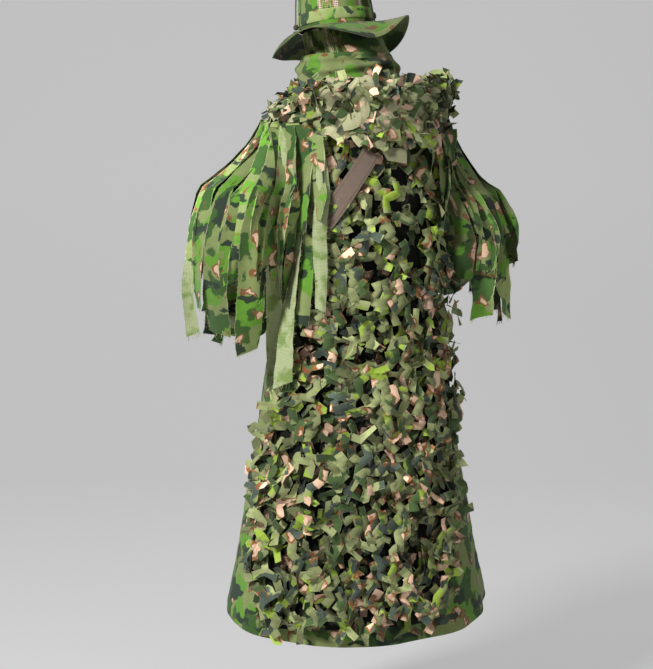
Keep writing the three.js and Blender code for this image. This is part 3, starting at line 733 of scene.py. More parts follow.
# ---------- Camera, light and floor ----------
CAMERA = {"azimuth": 18, "elevation": 5.3, "distance": 3.5, "width_seen": 1.6056}
CAMERA_TARGET = {"right": -0.0708, "z": -0.575}
SENSOR = 36
FLOOR_Z = -1.545
# The backdrop is a floor that bends up into a wall: where the bend starts, its radius, and the far ends.
BACKDROP = {"near": -4.5, "bend_from": 3.2, "bend": 1.4, "height": 6.0, "half_width": 7}


def add_camera():
    azimuth, elevation = math.radians(CAMERA["azimuth"]), math.radians(CAMERA["elevation"])
    distance = CAMERA["distance"]
    right = Vector((-math.cos(azimuth), math.sin(azimuth), 0))
    away = Vector((math.sin(azimuth), math.cos(azimuth), 0))
    target = right * CAMERA_TARGET["right"] + Vector((0, 0, CAMERA_TARGET["z"]))
    data = bpy.data.cameras.new("camera")
    data.lens = SENSOR * distance / CAMERA["width_seen"]
    camera = bpy.data.objects.new("camera", data)
    camera.location = target + (away * math.cos(elevation) + Vector((0, 0, math.sin(elevation)))) * distance
    camera.rotation_euler = (target - camera.location).to_track_quat("-Z", "Y").to_euler()
    bpy.context.scene.collection.objects.link(camera)
    bpy.context.scene.camera = camera
    return right, away


def add_light(name, location, size, power):
    data = bpy.data.lights.new(name, "AREA")
    data.shape, data.size, data.energy = "SQUARE", size, power
    light = bpy.data.objects.new(name, data)
    light.location = location
    light.rotation_euler = (Vector((0, 0, -0.5)) - Vector(location)).to_track_quat("-Z", "Y").to_euler()
    bpy.context.scene.collection.objects.link(light)


def add_studio(right, away):
    add_light("key", away * 2.2 - right * 2.1 + Vector((0, 0, 1.6)), 0.7, 168)
    add_light("fill", away * 2.6 + right * 2.6 + Vector((0, 0, 0.4)), 2.2, 10)
    add_light("rear", away * -2.4 + right * 0.6 + Vector((0, 0, 1.6)), 2.0, 18)
    world = bpy.data.worlds.new("studio")
    bpy.context.scene.world = world
    world.use_nodes = True
    world.node_tree.nodes["Background"].inputs[0].default_value = (0.80, 0.80, 0.80, 1)
    world.node_tree.nodes["Background"].inputs[1].default_value = 0.19
    s = Shader("backdrop_grey", roughness=0.95, specular=0.0)
    s.bsdf.inputs["Base Color"].default_value = (0.30, 0.30, 0.30, 1)
    s.bsdf.inputs["Emission Color"].default_value = (1, 1, 1, 1)
    s.bsdf.inputs["Emission Strength"].default_value = 0.37
    start, bend, half = BACKDROP["bend_from"], BACKDROP["bend"], BACKDROP["half_width"]
    profile = [(BACKDROP["near"], 0.0), (start, 0.0)]
    for a in np.linspace(0.1, math.pi / 2, 12):
        profile.append((start + bend * math.sin(a), bend - bend * math.cos(a)))
    profile.append((start + bend, BACKDROP["height"]))
    rows = [away * -d + Vector((0, 0, FLOOR_Z + h)) for d, h in profile]
    points = np.array([[row + right * x for x in (-half, half)] for row in rows])
    mesh = bpy.data.meshes.new("floor")
    mesh.from_pydata(points.reshape(-1, 3).tolist(), [], grid_faces(len(rows), 2))
    mesh.polygons.foreach_set("use_smooth", np.ones(len(mesh.polygons), bool))
    mesh.materials.append(s.material)
    floor = bpy.data.objects.new("floor", mesh)
    bpy.context.scene.collection.objects.link(floor)


# ---------- Cloak body ----------
def fold(angle, z):
    """How far the cloth stands out of its plain shape: broad folds that deepen to the hem, and creases."""
    low = np.clip((-0.25 - z) / 1.0, 0, 1)
    wander = 9 * np.sin(z * 5.1 + 0.6) + 5 * np.sin(z * 11.3)
    broad = np.sin(np.radians(angle * 7 + wander)) + 0.6 * np.sin(np.radians(angle * 12 - 2 * wander) + 1.7)
    place = vec(angle / 46, z * 2.2, 0 * angle)
    crease = ripple(place, 3.1, 2) * 0.5 + ripple(place * np.array([1, 2.6, 1]), 7.0, 3) * 0.3
    return 0.0105 * low * broad * 0.6 + 0.006 * crease


def cloak_panel(name, node, first, last, top, rows, cols):
    """One cut panel of the cloak between two angles, from its top line down to the hem."""
    u = np.linspace(0, 1, cols)[None, :]
    v = np.linspace(0, 1, rows)[:, None]
    seam = first(HEM["z"]) + (last(HEM["z"]) - first(HEM["z"])) * u
    z = top(seam) + (hem_z(seam) - top(seam)) * v
    angle = first(z) + (last(z) - first(z)) * u
    points = skin_out(angle, z, 0.0015 + fold(angle, z))
    width = np.radians(angle) * np.interp(z, FINE_Z, HALF_WIDTH)
    rests_on = ["yoke_left", "yoke_right"]
    sheet_piece(name, points, vec(width, z, 0), MAT["cloth"], [node], "camouflage_cloth", "hung", rests_on)


def front_edge(z):
    return 180 - np.degrees(np.arcsin(PANEL_EDGE_X / np.interp(z, FINE_Z, HALF_WIDTH)))


def add_cloak():
    back, side = PANEL_EDGE["back"], PANEL_EDGE["side"]
    below_yoke = lambda angle: yoke_z(angle) - 0.002
    same = lambda value: (lambda z: value + 0 * z)
    cloak_panel("cloak_back", "back_panel", same(-back), same(back), below_yoke, 96, 44)
    armhole = lambda angle: ARMHOLE_BOTTOM + 0 * angle
    for hand, sign in (("left", 1), ("right", -1)):
        first, last = same(sign * back), same(sign * side)
        cloak_panel(f"cloak_side_{hand}", f"side_panel_{hand}", first, last, armhole, 84, 34)
        edge = lambda z, sign=sign: sign * front_edge(z)
        cloak_panel(f"cloak_front_{hand}", f"front_panel_{hand}", last, edge, below_yoke, 90, 22)


def add_placket():
    """The strip of cloth behind the zip."""
    low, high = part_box("front_underlap")
    z = np.linspace(high[2], low[2], 30)[:, None]
    x = np.linspace(low[0], high[0], 9)[None, :]
    y = skin(180 + 0 * z, z)[..., 1] + 0.0085 + 0.0015 * ripple(vec(x, 0, z), 9, 31)
    sheet_piece(
        "front_placket", vec(x, y, z), vec(x, z, 0.9), MAT["cloth"], ["front_underlap"], "camouflage_cloth",
        "hung", ["front_panel_left"], tone=0.9,
    )


def add_yoke():
    for hand, sign in (("left", 1), ("right", -1)):
        s = np.linspace(0.01, 0.995, 16)[:, None]
        radius = NECK["half_width"] + (SHOULDER["half_width"] - NECK["half_width"]) * s
        edge = 180 - np.degrees(np.arcsin(PANEL_EDGE_X / radius))
        angle = sign * edge * np.linspace(0, 1, 60)[None, :]
        plain = yoke(angle, s + 0 * angle)
        outward = unit(plain - np.array([0, 0, -0.35]))
        sag = 0.0015 + 0.003 * ripple(plain, 18, 5)
        points = plain + outward * sag[..., None]
        sheet_piece(
            f"yoke_cloth_{hand}", points, vec(np.radians(angle) * 0.16, -s * 0.15, 0), MAT["khaki"],
            [f"yoke_{hand}"], "camouflage_cloth", "draped", ["neck_band"], tone=0.72,
        )


def add_sleeves():
    around = np.linspace(0, 360, 52, endpoint=False)[None, :]
    for hand in ("left", "right"):
        turn = np.linspace(CAP_TURN, -CAP_TURN, 48)[None, :]
        t = np.linspace(0, 1, 20)[:, None]
        points = cap(hand, turn, t, 0.003 * ripple(cap(hand, turn, t), 22, 6))
        sheet_piece(
            f"shoulder_{hand}", points, vec(np.radians(turn) * 0.065, -t * 0.15, 0), MAT["khaki"],
            [f"shoulder_cap_{hand}"], "camouflage_cloth", "draped", [f"yoke_{hand}"], tone=0.85,
        )
        for part, t0, t1, rows in (("upper", 0.0, 0.47, 22), ("lower", 0.475, 0.92, 26)):
            t = np.linspace(t0, t1, rows)[:, None]
            plain = sleeve(hand, around, t, 0)
            crumple = 0.005 * ripple(plain * np.array([1, 1, 2.4]), 20, 7) - 0.001
            # tone=0.55 below paints the sleeves darker: painted shade under the strips that hang over them.
            sheet_piece(
                f"sleeve_{part}_cloth_{hand}", sleeve(hand, around, t, crumple),
                vec(np.radians(around) * 0.06, -t * 0.36, 0), MAT["cloth"], [f"sleeve_{part}_{hand}"],
                "camouflage_cloth", "hung", [f"shoulder_cap_{hand}"], closed=True, tone=0.55,
            )
        t = np.linspace(0.905, 1.0, 9)[:, None]
        swell = 0.0025 * np.sin(np.linspace(0, math.pi, 9))[:, None] + 0 * around
        cloth_piece(
            f"cuff_cloth_{hand}", sleeve(hand, around, t, swell),
            vec(np.radians(around) * 0.05, -t * 0.36, 0), MAT["cloth"], [f"cuff_{hand}"],
            "camouflage_cloth", closed=True,
        )


# ---------- Die-cut net ----------
def arm_sections(half, end):
    """Distances along one arm of a cut piece, as a share of its length, with the half width at each."""
    if end == "join":
        return [(0.58, half), (1.0, half * 0.92)]
    if end == "point":
        return [(0.45, half), (0.80, half * 1.1), (1.0, half * 0.06)]
    return [(0.45, half), (1.0, half * 1.04)]


def add_star(cloth, axes, arms, flat_at, tone, curl=0.0, cup=0.0):
    """A cut piece whose arms are (direction, length, half width, end, tip lift, roll, tip roll)."""
    centre, across, up, out = axes
    arms = sorted(arms)
    local, edge, tones, faces, webs = [(0.0, 0.0, 0.0)], [0.0], [tone], [], []
    for i, a in enumerate(arms):
        b = arms[(i + 1) % len(arms)]
        gap = (b[0] - a[0]) % (2 * math.pi) or 2 * math.pi
        reach = (a[2] + b[2]) / 2 / max(math.sin(gap / 2), 0.5)
        middle = a[0] + gap / 2
        webs.append(len(local))
        local.append((reach * math.cos(middle), reach * math.sin(middle), 0.0))
        edge.append(1.0)
        tones.append(tone)
    for i, (direction, length, half, end, tip_lift, roll, tip_roll) in enumerate(arms):
        dx, dy = math.cos(direction), math.sin(direction)
        previous = (webs[i - 1], 0, webs[i])
        for t, w in arm_sections(half, end):
            r = roll + (tip_roll - roll) * t
            along = t * length
            height = tip_lift * t + curl * along * along
            row = []
            for side in (-1, 0, 1):
                x = along * dx - side * w * math.cos(r) * dy
                y = along * dy + side * w * math.cos(r) * dx
                row.append(len(local))
                local.append((x, y, height + side * w * math.sin(r) + abs(side) * cup * w))
                edge.append(float(abs(side)))
                # Each arm's colour is made lighter or darker by its roll and direction: painted light and
                # shade on the twisted arms.
                tones.append(tone * (1 + 0.5 * math.sin(7 * tip_roll + direction)))
            faces.append((previous[0], row[0], row[1], previous[1]))
            faces.append((previous[1], row[1], row[2], previous[2]))
            previous = tuple(row)
    local = np.array(local)
    points = centre + local[:, 0:1] * across + local[:, 1:2] * up + local[:, 2:3] * out
    flat = np.array([flat_at(x, y) for x, y, _ in local])
    cloth.add(points, faces, flat, tones, edge=edge)


class Wrap:
    """The cloak's back as a flat sheet, by distance round from the centre line and height."""

    ANGLES = np.arange(-120, 121, 2.0)

    def __init__(self):
        self.cache = {}

    def angle(self, s, z):
        key = round(z, 2)
        if key not in self.cache:
            line = skin(self.ANGLES, np.full(len(self.ANGLES), key))
            steps = np.linalg.norm(np.diff(line, axis=0), axis=1)
            length = np.concatenate([[0], np.cumsum(steps)])
            self.cache[key] = length - length[len(length) // 2]
        return float(np.interp(s, self.cache[key], self.ANGLES))

    def axes(self, s, z, out):
        angle = self.angle(s, z)
        e = 0.5
        here = skin_out(angle, z, out)
        across = unit(skin(np.array(angle + e), np.array(z)) - skin(np.array(angle - e), np.array(z)))
        up = unit(skin(np.array(angle), np.array(z + 0.01)) - skin(np.array(angle), np.array(z - 0.01)))
        return here, across, up, unit(np.cross(across, up)) * -1


WRAP = Wrap()


def net_span(z):
    left = np.interp(z, NET_EDGES[:, 0], NET_EDGES[:, 1])
    right = np.interp(z, NET_EDGES[:, 0], NET_EDGES[:, 2])
    return right, left


def inside_net(s, z, margin=2.0):
    angle = WRAP.angle(s, z)
    right, left = net_span(z)
    return right + margin < angle < left - margin


def hashed(a, b, seed):
    """A repeatable value from -1 to 1 for a place on the net, so that two pieces that meet there agree."""
    return random.Random(f"{round(a * 500)}:{round(b * 500)}:{seed}").uniform(-1, 1)


def tilted(axes, rng, most):
    """The same frame turned by a random tilt of at most so many degrees, and spun."""
    centre, across, up, out = axes
    tilt = math.radians(rng.uniform(0.25, 1.0) * most)
    about = rng.uniform(0, 2 * math.pi)
    axis = across * math.cos(about) + up * math.sin(about)
    turn = np.array(Matrix.Rotation(tilt, 3, Vector(axis)))
    return centre, turn @ across, turn @ up, turn @ out


NET_STRETCH = 1.3


def connected_net(cloth, top, bottom, depth, relief, seed, tone, half=0.0085, cell=0.030, gaps=0.0):
    """A net still joined at its cuts: a honeycomb of bands that twist and stand off the cloak."""
    rng = random.Random(seed)
    pitch = cell * math.sqrt(3)
    tall = cell * NET_STRETCH
    slide = rng.uniform(0, pitch)
    row = 0
    y = top + rng.uniform(0, 1.5) * tall
    while y > bottom:
        for sign, yy in ((1, y), (-1, y + tall)):
            for k in range(-9, 10):
                x = k * pitch + (row % 2) * pitch / 2 + slide
                if yy < bottom or yy > top or not inside_net(x, yy) or rng.random() < gaps:
                    continue
                lift = relief * hashed(x, yy, seed + 1)
                sway = (0.009 * math.sin(yy * 47 + seed), 0.010 * math.sin(x * 52 + yy * 11 + seed))
                axes = WRAP.axes(x + sway[0], yy + sway[1], depth + lift)
                arms = []
                for ux, uy in ((0, 1), (-0.866, -0.5), (0.866, -0.5)):
                    ex, ey = ux * cell / 2, sign * uy * tall / 2
                    joint = (x + ex, yy + ey)
                    tip_lift = relief * hashed(*joint, seed) - lift
                    tip_roll = 1.1 * hashed(*joint, seed + 2) * sign
                    width = half * (1 + 0.15 * hashed(*joint, seed + 3))
                    roll = rng.uniform(-0.25, 0.25)
                    direction, length = math.atan2(ey, ex), math.hypot(ex, ey)
                    arms.append((direction, length, width, "join", tip_lift, roll, tip_roll))
                place = lambda px, py, x=x, yy=yy: (x + px, yy + py, seed * 0.37)
                add_star(cloth, axes, arms, place, rng.uniform(*tone), cup=rng.uniform(-0.25, 0.25))
        y -= 1.5 * tall
        row += 1


def loose_arms(rng, size):
    """Random arms for a cut piece that has come away from its neighbours."""
    count = rng.choice((2, 3, 3, 3, 3, 4))
    spin = rng.uniform(0, 2 * math.pi)
    arms = []
    for i in range(count):
        direction = spin + 2 * math.pi / max(count, 3) * i + rng.uniform(-0.2, 0.2)
        length = rng.uniform(0.026, 0.043) * size
        roll = rng.uniform(-0.35, 0.35)
        tip_roll = roll + rng.uniform(-0.8, 0.8)
        half = rng.uniform(0.0072, 0.0100) * size
        end = rng.choice(("flat", "flat", "point"))
        arms.append((direction, length, half, end, rng.uniform(-0.011, 0.011), roll, tip_roll))
    return arms


def net_bands(cloth, count, top, bottom, depths, seed):
    """Longer lengths of net that hang loose in front of the rest, mostly downwards."""
    rng = random.Random(seed)
    made = 0
    while made < count:
        s, z, depth = rng.uniform(-0.24, 0.30), rng.uniform(bottom, top), rng.uniform(*depths)
        if not inside_net(s, z, 4.0):
            continue
        made += 1
        surface = lambda px, py, out, s=s, z=z: skin_out(WRAP.angle(s + px, z + py), z + py, out)
        heading = math.radians(-120 + rng.uniform(-20, 20) if made % 3 else rng.uniform(0, 360))
        bends = rng.choice((2, 3, 4))
        width = rng.uniform(0.016, 0.021)
        add_band(cloth, surface, heading, bends, 0.025, width, depth, rng, rng.uniform(0.7, 1.35), 0)


def turned_print(x, y, turn, layer):
    """Where a piece's print is read when the piece lies at a place on the net and is turned there."""
    c, q = math.cos(turn), math.sin(turn)
    return lambda px, py: (x + c * px - q * py, y + q * px + c * py, layer)


def free_print(rng):
    """Where a piece's print is read when it was cut from a random place on the cloth."""
    base = (rng.uniform(-3, 3), rng.uniform(-3, 3))
    return lambda px, py: (base[0] + px, base[1] + py, 1.0)


def loose_pieces(
    cloth, top, bottom, spacing, depths, tilt, seed, tone, size=1.0, keep=lambda s, z: True, margin=1.0
):
    """Cut pieces that overlap each other at all tilts, on a shaken grid over the net."""
    rng = random.Random(seed)
    z = top
    row = 0
    while z > bottom:
        for k in range(-14, 15):
            s = (k + 0.5 * (row % 2)) * spacing + rng.uniform(-0.42, 0.42) * spacing
            zz = z + rng.uniform(-0.42, 0.42) * spacing
            if zz < bottom + 0.012 or zz > top or not inside_net(s, zz, margin) or not keep(s, zz):
                continue
            axes = tilted(WRAP.axes(s, zz, rng.uniform(*depths)), rng, tilt)
            turn = rng.uniform(0, 2 * math.pi)
            place = turned_print(s, zz, turn, seed * 0.53)
            arms = loose_arms(rng, size)
            shade, curl, cup = rng.uniform(*tone), rng.uniform(-8, 8), rng.uniform(-0.3, 0.3)
            add_star(cloth, axes, arms, place, shade, curl, cup)
        z -= spacing * 0.86
        row += 1


# A near-black sheet just behind a net. The upper one stands for the CAD's dark backing mesh; the lower one is
# a painted shadow, where only shade shows between the pieces.
def add_backing(name, top, bottom, replaced):
    z = np.linspace(top, bottom, 40)[:, None]
    right, left = net_span(z)
    angle = right + 2 + (left - right - 4) * np.linspace(0, 1, 40)[None, :]
    flat = vec(np.radians(angle) * 0.2, z, 0)
    rests_on = ["yoke_left", "yoke_right"]
    sheet_piece(name, skin_out(angle, z, 0.0085), flat, MAT["dark"], replaced, "dark_mesh", "hung", rests_on)


def add_nets():
    top, split, bottom = NET["top"], NET["split"], NET["bottom"]
    add_backing("net_backing", top - 0.026, split + 0.006, ["net_backing_mesh"])
    # The lower sheet is painted shadow: no backing mesh lies there, only the shaded camouflage cloak.
    add_backing("net_lower_painted_shadow", split + 0.004, bottom + 0.02, [])

    upper = Cloth()
    wide = {"half": 0.0092, "cell": 0.033}
    # The deeper joined layer's low tones are painted shade under the layers over it.
    connected_net(upper, top, split - 0.01, 0.014, 0.006, 11, (0.35, 0.8), **wide)
    connected_net(upper, top, split - 0.01, 0.025, 0.012, 12, (0.8, 1.4), gaps=0.06, **wide)
    thick_side = lambda s, z: s > 0.02 or z < -0.46 or z > -0.20
    loose_pieces(upper, top, split, 0.062, (0.028, 0.036), 38, 13, (0.75, 1.35), size=1.08, keep=thick_side)
    right_edge = lambda s, z: s < -0.13 and z < -0.14
    loose_pieces(upper, top, split, 0.036, (0.022, 0.052), 38, 14, (0.7, 1.4), keep=right_edge, margin=-16)
    net_bands(upper, 70, top, split, (0.026, 0.038), 16)
    upper.build("net_upper", [MAT["net"]], "cloak", ["net_upper_back"], smooth=False)

    lower = Cloth()
    # Tones rise with the distance out from the cloak: the inner layers are painted darker as shade under the
    # outer ones.
    connected_net(lower, split, bottom, 0.012, 0.004, 21, (0.3, 0.65))
    loose_pieces(lower, split + 0.01, bottom, 0.050, (0.015, 0.022), 40, 22, (0.5, 0.95), size=1.05)
    loose_pieces(lower, split + 0.01, bottom, 0.050, (0.021, 0.030), 44, 23, (0.8, 1.45), size=1.05)
    net_bands(lower, 110, split, bottom + 0.05, (0.026, 0.034), 24)
    lower.build("net_lower", [MAT["net"]], "cloak", ["net_lower_back"], smooth=False)


# ---------- Rag strips ----------
def add_strip(cloth, spine, across, outward, width, rng, slot, flat_shift, tone, fray):
    """One torn strip: a ribbon along its spine, twisting a little, with an uneven edge and loose threads."""
    n = len(spine)
    cols = 6
    t = np.linspace(0, 1, n)
    twist = rng.uniform(-0.8, 0.8) * t + 0.30 * np.sin(t * rng.uniform(3, 7) + rng.uniform(0, 6))
    bow = rng.uniform(-0.24, 0.24)
    slant = rng.uniform(-0.5, 0.5)
    u = np.linspace(-1, 1, cols)
    down = unit(np.gradient(spine, axis=0))
    ragged = np.array([[rng.uniform(-1, 1) for _ in range(2)] for _ in range(n)])
    waves = np.array([0.10 * np.sin(t * rng.uniform(5, 14) + rng.uniform(0, 6)) for _ in range(2)]).T
    half = width / 2 * (1 - 0.12 * t[:, None] * rng.random() + 0.06 * ragged + waves)
    points = np.zeros((n, cols, 3))
    for j, x in enumerate(u):
        side = half[:, 0] if x < 0 else half[:, 1]
        reach = side * x
        lift = reach * np.sin(twist) + bow * width * (x * x - 0.4) + 0.0012 * np.sin(9 * t + 3 * x)
        points[:, j] = spine + across * (reach * np.cos(twist))[:, None] + outward * lift[:, None]
        points[:, j] += down * (slant * x * width * 0.5 * np.clip((t - 0.8) / 0.2, 0, 1))[:, None]
    length = np.concatenate([[0], np.cumsum(np.linalg.norm(np.diff(spine, axis=0), axis=1))])
    flat = vec(u[None, :] * width / 2, -length[:, None], 0) + np.array(flat_shift)
    cloth.sheet(points, flat, tone, slot, edge=np.abs(u)[None, :])
    add_fray(cloth, points, flat, rng, 2, fray, tone)


def add_fray(cloth, points, flat, rng, slot, amount, tone):
    """Loose threads along both long edges and the cut end, gathered into one patch."""
    rows, cols = points.shape[:2]
    out_points, out_flat, faces = [], [], []

    def thread(root, direction, length, root_flat):
        lean = Vector((rng.uniform(-1, 1), rng.uniform(-1, 1), rng.uniform(-1.2, 0.4)))
        tip = root + direction * length + np.array(lean) * length * 0.45
        skew = np.array([rng.uniform(-1, 1), rng.uniform(-1, 1), rng.uniform(-1, 1)])
        wide = unit(np.cross(direction, skew)) * 0.0005
        base = len(out_points)
        out_points.extend([root - wide, root + wide, tip + wide * 0.5, tip - wide * 0.5])
        out_flat.extend([root_flat] * 4)
        faces.append((base, base + 1, base + 2, base + 3))

    for r in range(1, rows):
        for edge, inner in ((0, 1), (cols - 1, cols - 2)):
            outward = unit(points[r, edge] - points[r, inner])
            for _ in range(int(2 * amount + rng.random())):
                k = rng.random()
                root = points[r, edge] * k + points[r - 1, edge] * (1 - k)
                thread(root, outward, rng.uniform(0.001, 0.005) * amount, flat[r, edge])
    downward = unit(points[-1, cols // 2] - points[-2, cols // 2])
    for _ in range(int(16 * amount)):
        k = rng.uniform(0, cols - 1.001)
        c = int(k)
        root = points[-1, c] * (1 - k + c) + points[-1, c + 1] * (k - c)
        thread(root, downward, rng.uniform(0.003, 0.011) * amount, flat[-1, c])
    if out_points:
        cloth.add(out_points, faces, out_flat, tone, slot)


def strip_along(cloth, place, top, bottom, turn, drift, out, width, rng, gauze, tone):
    """A strip whose spine is place(turn, z, out), from its seam down to its end."""
    n = max(10, int((top - bottom) / 0.015))
    z = np.linspace(top, bottom, n)
    t = (top - z) / (top - bottom)
    turns = turn + drift * t + 2.0 * np.sin(t * rng.uniform(2, 6) + rng.uniform(0, 6)) * t
    swing = out + 0.006 * np.sin(t * rng.uniform(3, 8) + rng.uniform(0, 6)) * t
    spine = place(turns, z, swing)
    across = unit(place(turns + 2, z, swing) - place(turns - 2, z, swing))
    down = unit(np.gradient(spine, axis=0))
    outward = unit(np.cross(across, down))
    flip = np.sign(np.sum(outward * (place(turns, z, swing + 0.01) - spine), axis=-1, keepdims=True))
    shift = (rng.uniform(-4, 4), rng.uniform(-4, 4), rng.uniform(-4, 4))
    slot, fray = (1, 1.5) if gauze else (0, 0.8)
    add_strip(cloth, spine, across, outward * flip, width, rng, slot, shift, tone, fray)


# Strips that stand out on each arm: turn, seam on the cap or a height, end, width, gauze or not, tone. The
# tones are partly painted light on the lit left arm and painted shade on the right arm, darker towards its
# back.
OUTER_STRIPS = {
    "left": [
        (4, -0.285, -0.565, 0.044, True, 1.20),
        (20, 0.20, -0.500, 0.056, False, 0.96),
        (44, 0.12, -0.560, 0.066, False, 0.86),
        (64, 0.08, -0.430, 0.058, False, 1.38),
        (80, 0.05, -0.600, 0.064, False, 1.50),
        (98, 0.05, -0.470, 0.050, False, 1.20),
        (103, -0.400, -0.680, 0.054, True, 1.32),
        (113, 0.04, -0.470, 0.066, False, 1.50),
        (124, 0.04, -0.520, 0.030, False, 1.08),
    ],
    "right": [
        (30, 0.15, -0.400, 0.056, False, 0.9),
        (62, 0.10, -0.445, 0.060, False, 0.95),
        (88, 0.06, -0.420, 0.052, False, 1.0),
        (104, 0.05, -0.330, 0.058, False, 0.7),
        (118, 0.05, -0.440, 0.056, False, 0.6),
        (136, 0.05, -0.400, 0.060, False, 0.5),
        (158, 0.06, -0.420, 0.060, False, 0.4),
    ],
}
# Strips over the back of each shoulder: angle from the centre of the back, end, width, gauze or not.
BACK_STRIPS = [
    (62, -0.085, -0.480, 0.070, False),
    (56, -0.085, -0.680, 0.052, True),
    (52, -0.085, -0.330, 0.062, False),
    (47, -0.085, -0.540, 0.030, False),
    (42, -0.085, -0.300, 0.058, False),
    (39, -0.130, -0.505, 0.034, True),
    (-42, -0.085, -0.190, 0.050, False),
    (-50, -0.085, -0.250, 0.048, False),
    (-57, -0.085, -0.330, 0.056, False),
    (-64, -0.085, -0.270, 0.052, False),
]


# Layers of strips from the inside out: degrees between strips, how far out in metres, and the tone, which
# paints the inner layers darker as shade under the outer ones and the outer layer lighter as painted light.
FRINGE_LAYERS = [(22, -0.026, 0.26), (25, -0.012, 0.62), (31, 0.003, 1.34)]


def add_fringes():
    materials = [MAT["cloth"], MAT["scrim"], MAT["fray"]]
    for index, row in enumerate(ARM_FRINGES):
        rng = random.Random(900 + index)
        cloth = Cloth()
        first, last = row["turns"]
        layers = FRINGE_LAYERS if "cap" in row else FRINGE_LAYERS[1:]
        for layer, (step, out, shade) in enumerate(layers):
            for k in range(int((last - first) / step) + 1):
                turn = first + 4 + (k + rng.uniform(0.2, 0.8)) * step
                if turn > last:
                    continue
                seam_at = row.get("cap", 0) - rng.uniform(0.0, 0.22)
                place = lambda a, z, out, row=row, at=seam_at: arm_fringe(row, a, z, out, at)
                top = float(cap(row["side"], turn, seam_at)[2]) if "cap" in row else row["top"]
                bottom = row["bottom"] + rng.uniform(0.0, 0.13) + (0.03 if layer == 2 else 0)
                gauze = rng.random() < 0.08
                width = rng.uniform(0.044, 0.070) if rng.random() < 0.75 else rng.uniform(0.020, 0.032)
                # The layer's shade paints the strip darker or lighter by how deep it lies.
                tone = rng.uniform(0.7, 1.35) * shade
                drift = rng.uniform(-6, 6)
                strip_along(cloth, place, top, bottom, turn, drift, out, width, rng, gauze, tone)
        if "cap" in row:
            for turn, start, bottom, width, gauze, tone in OUTER_STRIPS[row["side"]]:
                seam_at = start if start > 0 else row["cap"]
                place = lambda a, z, out, row=row, at=seam_at: arm_fringe(row, a, z, out, at)
                top = float(cap(row["side"], turn, seam_at)[2]) if start > 0 else start
                drift = rng.uniform(-3, 3)
                strip_along(cloth, place, top, bottom, turn, drift, 0.006, width, rng, gauze, tone)
        cloth.build(row["name"] + "_rags", materials, "cloak", [row["name"]])
    rng = random.Random(950)
    cloth = Cloth()
    place = lambda angle, z, out: skin_out(angle, z, 0.030 + np.minimum(0.018, (-0.085 - z) * 0.25) + out)
    for k, (angle, top, bottom, width, gauze) in enumerate(BACK_STRIPS):
        drift, tone = rng.uniform(-2, 2), rng.uniform(0.85, 1.15)
        strip_along(cloth, place, top, bottom, angle, drift, 0.003 * (k % 3), width, rng, gauze, tone)
    cloth.build("fringe_back_rags", materials, "cloak", ["fringe_left_back"])


# ---------- Webbing strap ----------
def strap_point(along, across, out):
    start, end = np.array(STRAP["from"]), np.array(STRAP["to"])
    run = end - start
    side = np.array([-run[1], run[0]]) / np.linalg.norm(run)
    x = start[0] + run[0] * along + side[0] * across
    z = start[1] + run[1] * along + side[1] * across
    angle = np.degrees(np.arcsin(x / np.interp(z, FINE_Z, HALF_WIDTH)))
    return skin_out(angle, z, STRAP["offset"] + out)


def stitch_row(cloth, place, count, length, half=0.0006):
    """Short raised stitches end to end along place(t), each a small four-sided bar."""
    t = (np.arange(count) + 0.5) / count
    for k in t:
        a, b = place(k - 0.32 / count), place(k + 0.32 / count)
        middle = place(k)
        axis = unit(b - a)
        side = unit(np.cross(axis, middle - place(k + 0.5 / count) + np.array([0.01, 0.02, 0.03])))
        lift = np.cross(side, axis)
        points = []
        for end in (a, b):
            points += [end + side * half, end + lift * half, end - side * half, end - lift * half]
        faces = [(0, 1, 5, 4), (1, 2, 6, 5), (2, 3, 7, 6), (3, 0, 4, 7), (0, 3, 2, 1), (4, 5, 6, 7)]
        cloth.add(points, faces, np.array([[i * 0.001, k * length, 0] for i in range(8)]), slot=1)


def add_strap():
    length = float(np.hypot(*(np.array(STRAP["to"]) - np.array(STRAP["from"]))))
    along = np.linspace(0, 1, 40)[:, None]
    across = np.linspace(-STRAP["width"] / 2, STRAP["width"] / 2, 9)[None, :]
    cloth = Cloth()
    for out in (0.0004, 0.0026):
        wave = 0.0012 * np.sin(along * 8) + 0 * across
        points = strap_point(along + 0 * across, across + 0 * along, out + wave)
        cloth.sheet(points, vec(across, along * length, 0))
    wave_at = lambda t: 0.0012 * math.sin(t * 8) + 0.0030
    for side in (-0.014, 0.014):
        line = lambda t, side=side: strap_point(np.array(t), np.array(side), wave_at(t))
        stitch_row(cloth, line, 46, length)
    for t0 in (0.86, 0.975):
        line = lambda t, t0=t0: strap_point(np.array(t0), np.array((t - 0.5) * 0.028), wave_at(t0))
        stitch_row(cloth, line, 8, 0.03)
    cloth.build("strap_webbing", [MAT["strap"], MAT["thread"]], "cloak", ["back_strap"])


# ---------- Hood, folded down ----------
UP = np.array([0.0, 0.0, 1.0])


def hood_frame(t):
    t = float(np.clip(t, 0, 1))
    line = centripetal(HOOD["path"], np.array([t]))[0]
    ends = centripetal(HOOD["path"], np.array([max(t - 0.01, 0), min(t + 0.01, 1)]))
    ahead = unit(ends[1] - ends[0])
    return line, ahead, unit(np.cross(ahead, UP))


def hood_surface(t, h, out):
    """A point on the folded hood and the way out of it: over the roll where h is above 0, else hanging."""
    line, _, side = hood_frame(t)
    turn = -0.9 + max(h, 0) / 0.036
    radial = side * math.cos(turn) + UP * math.sin(turn) * HOOD["flatten"]
    point = line + radial * (HOOD["radius"] + out)
    if h < 0:
        point = point + UP * h + side * h * 0.10
    return point, radial


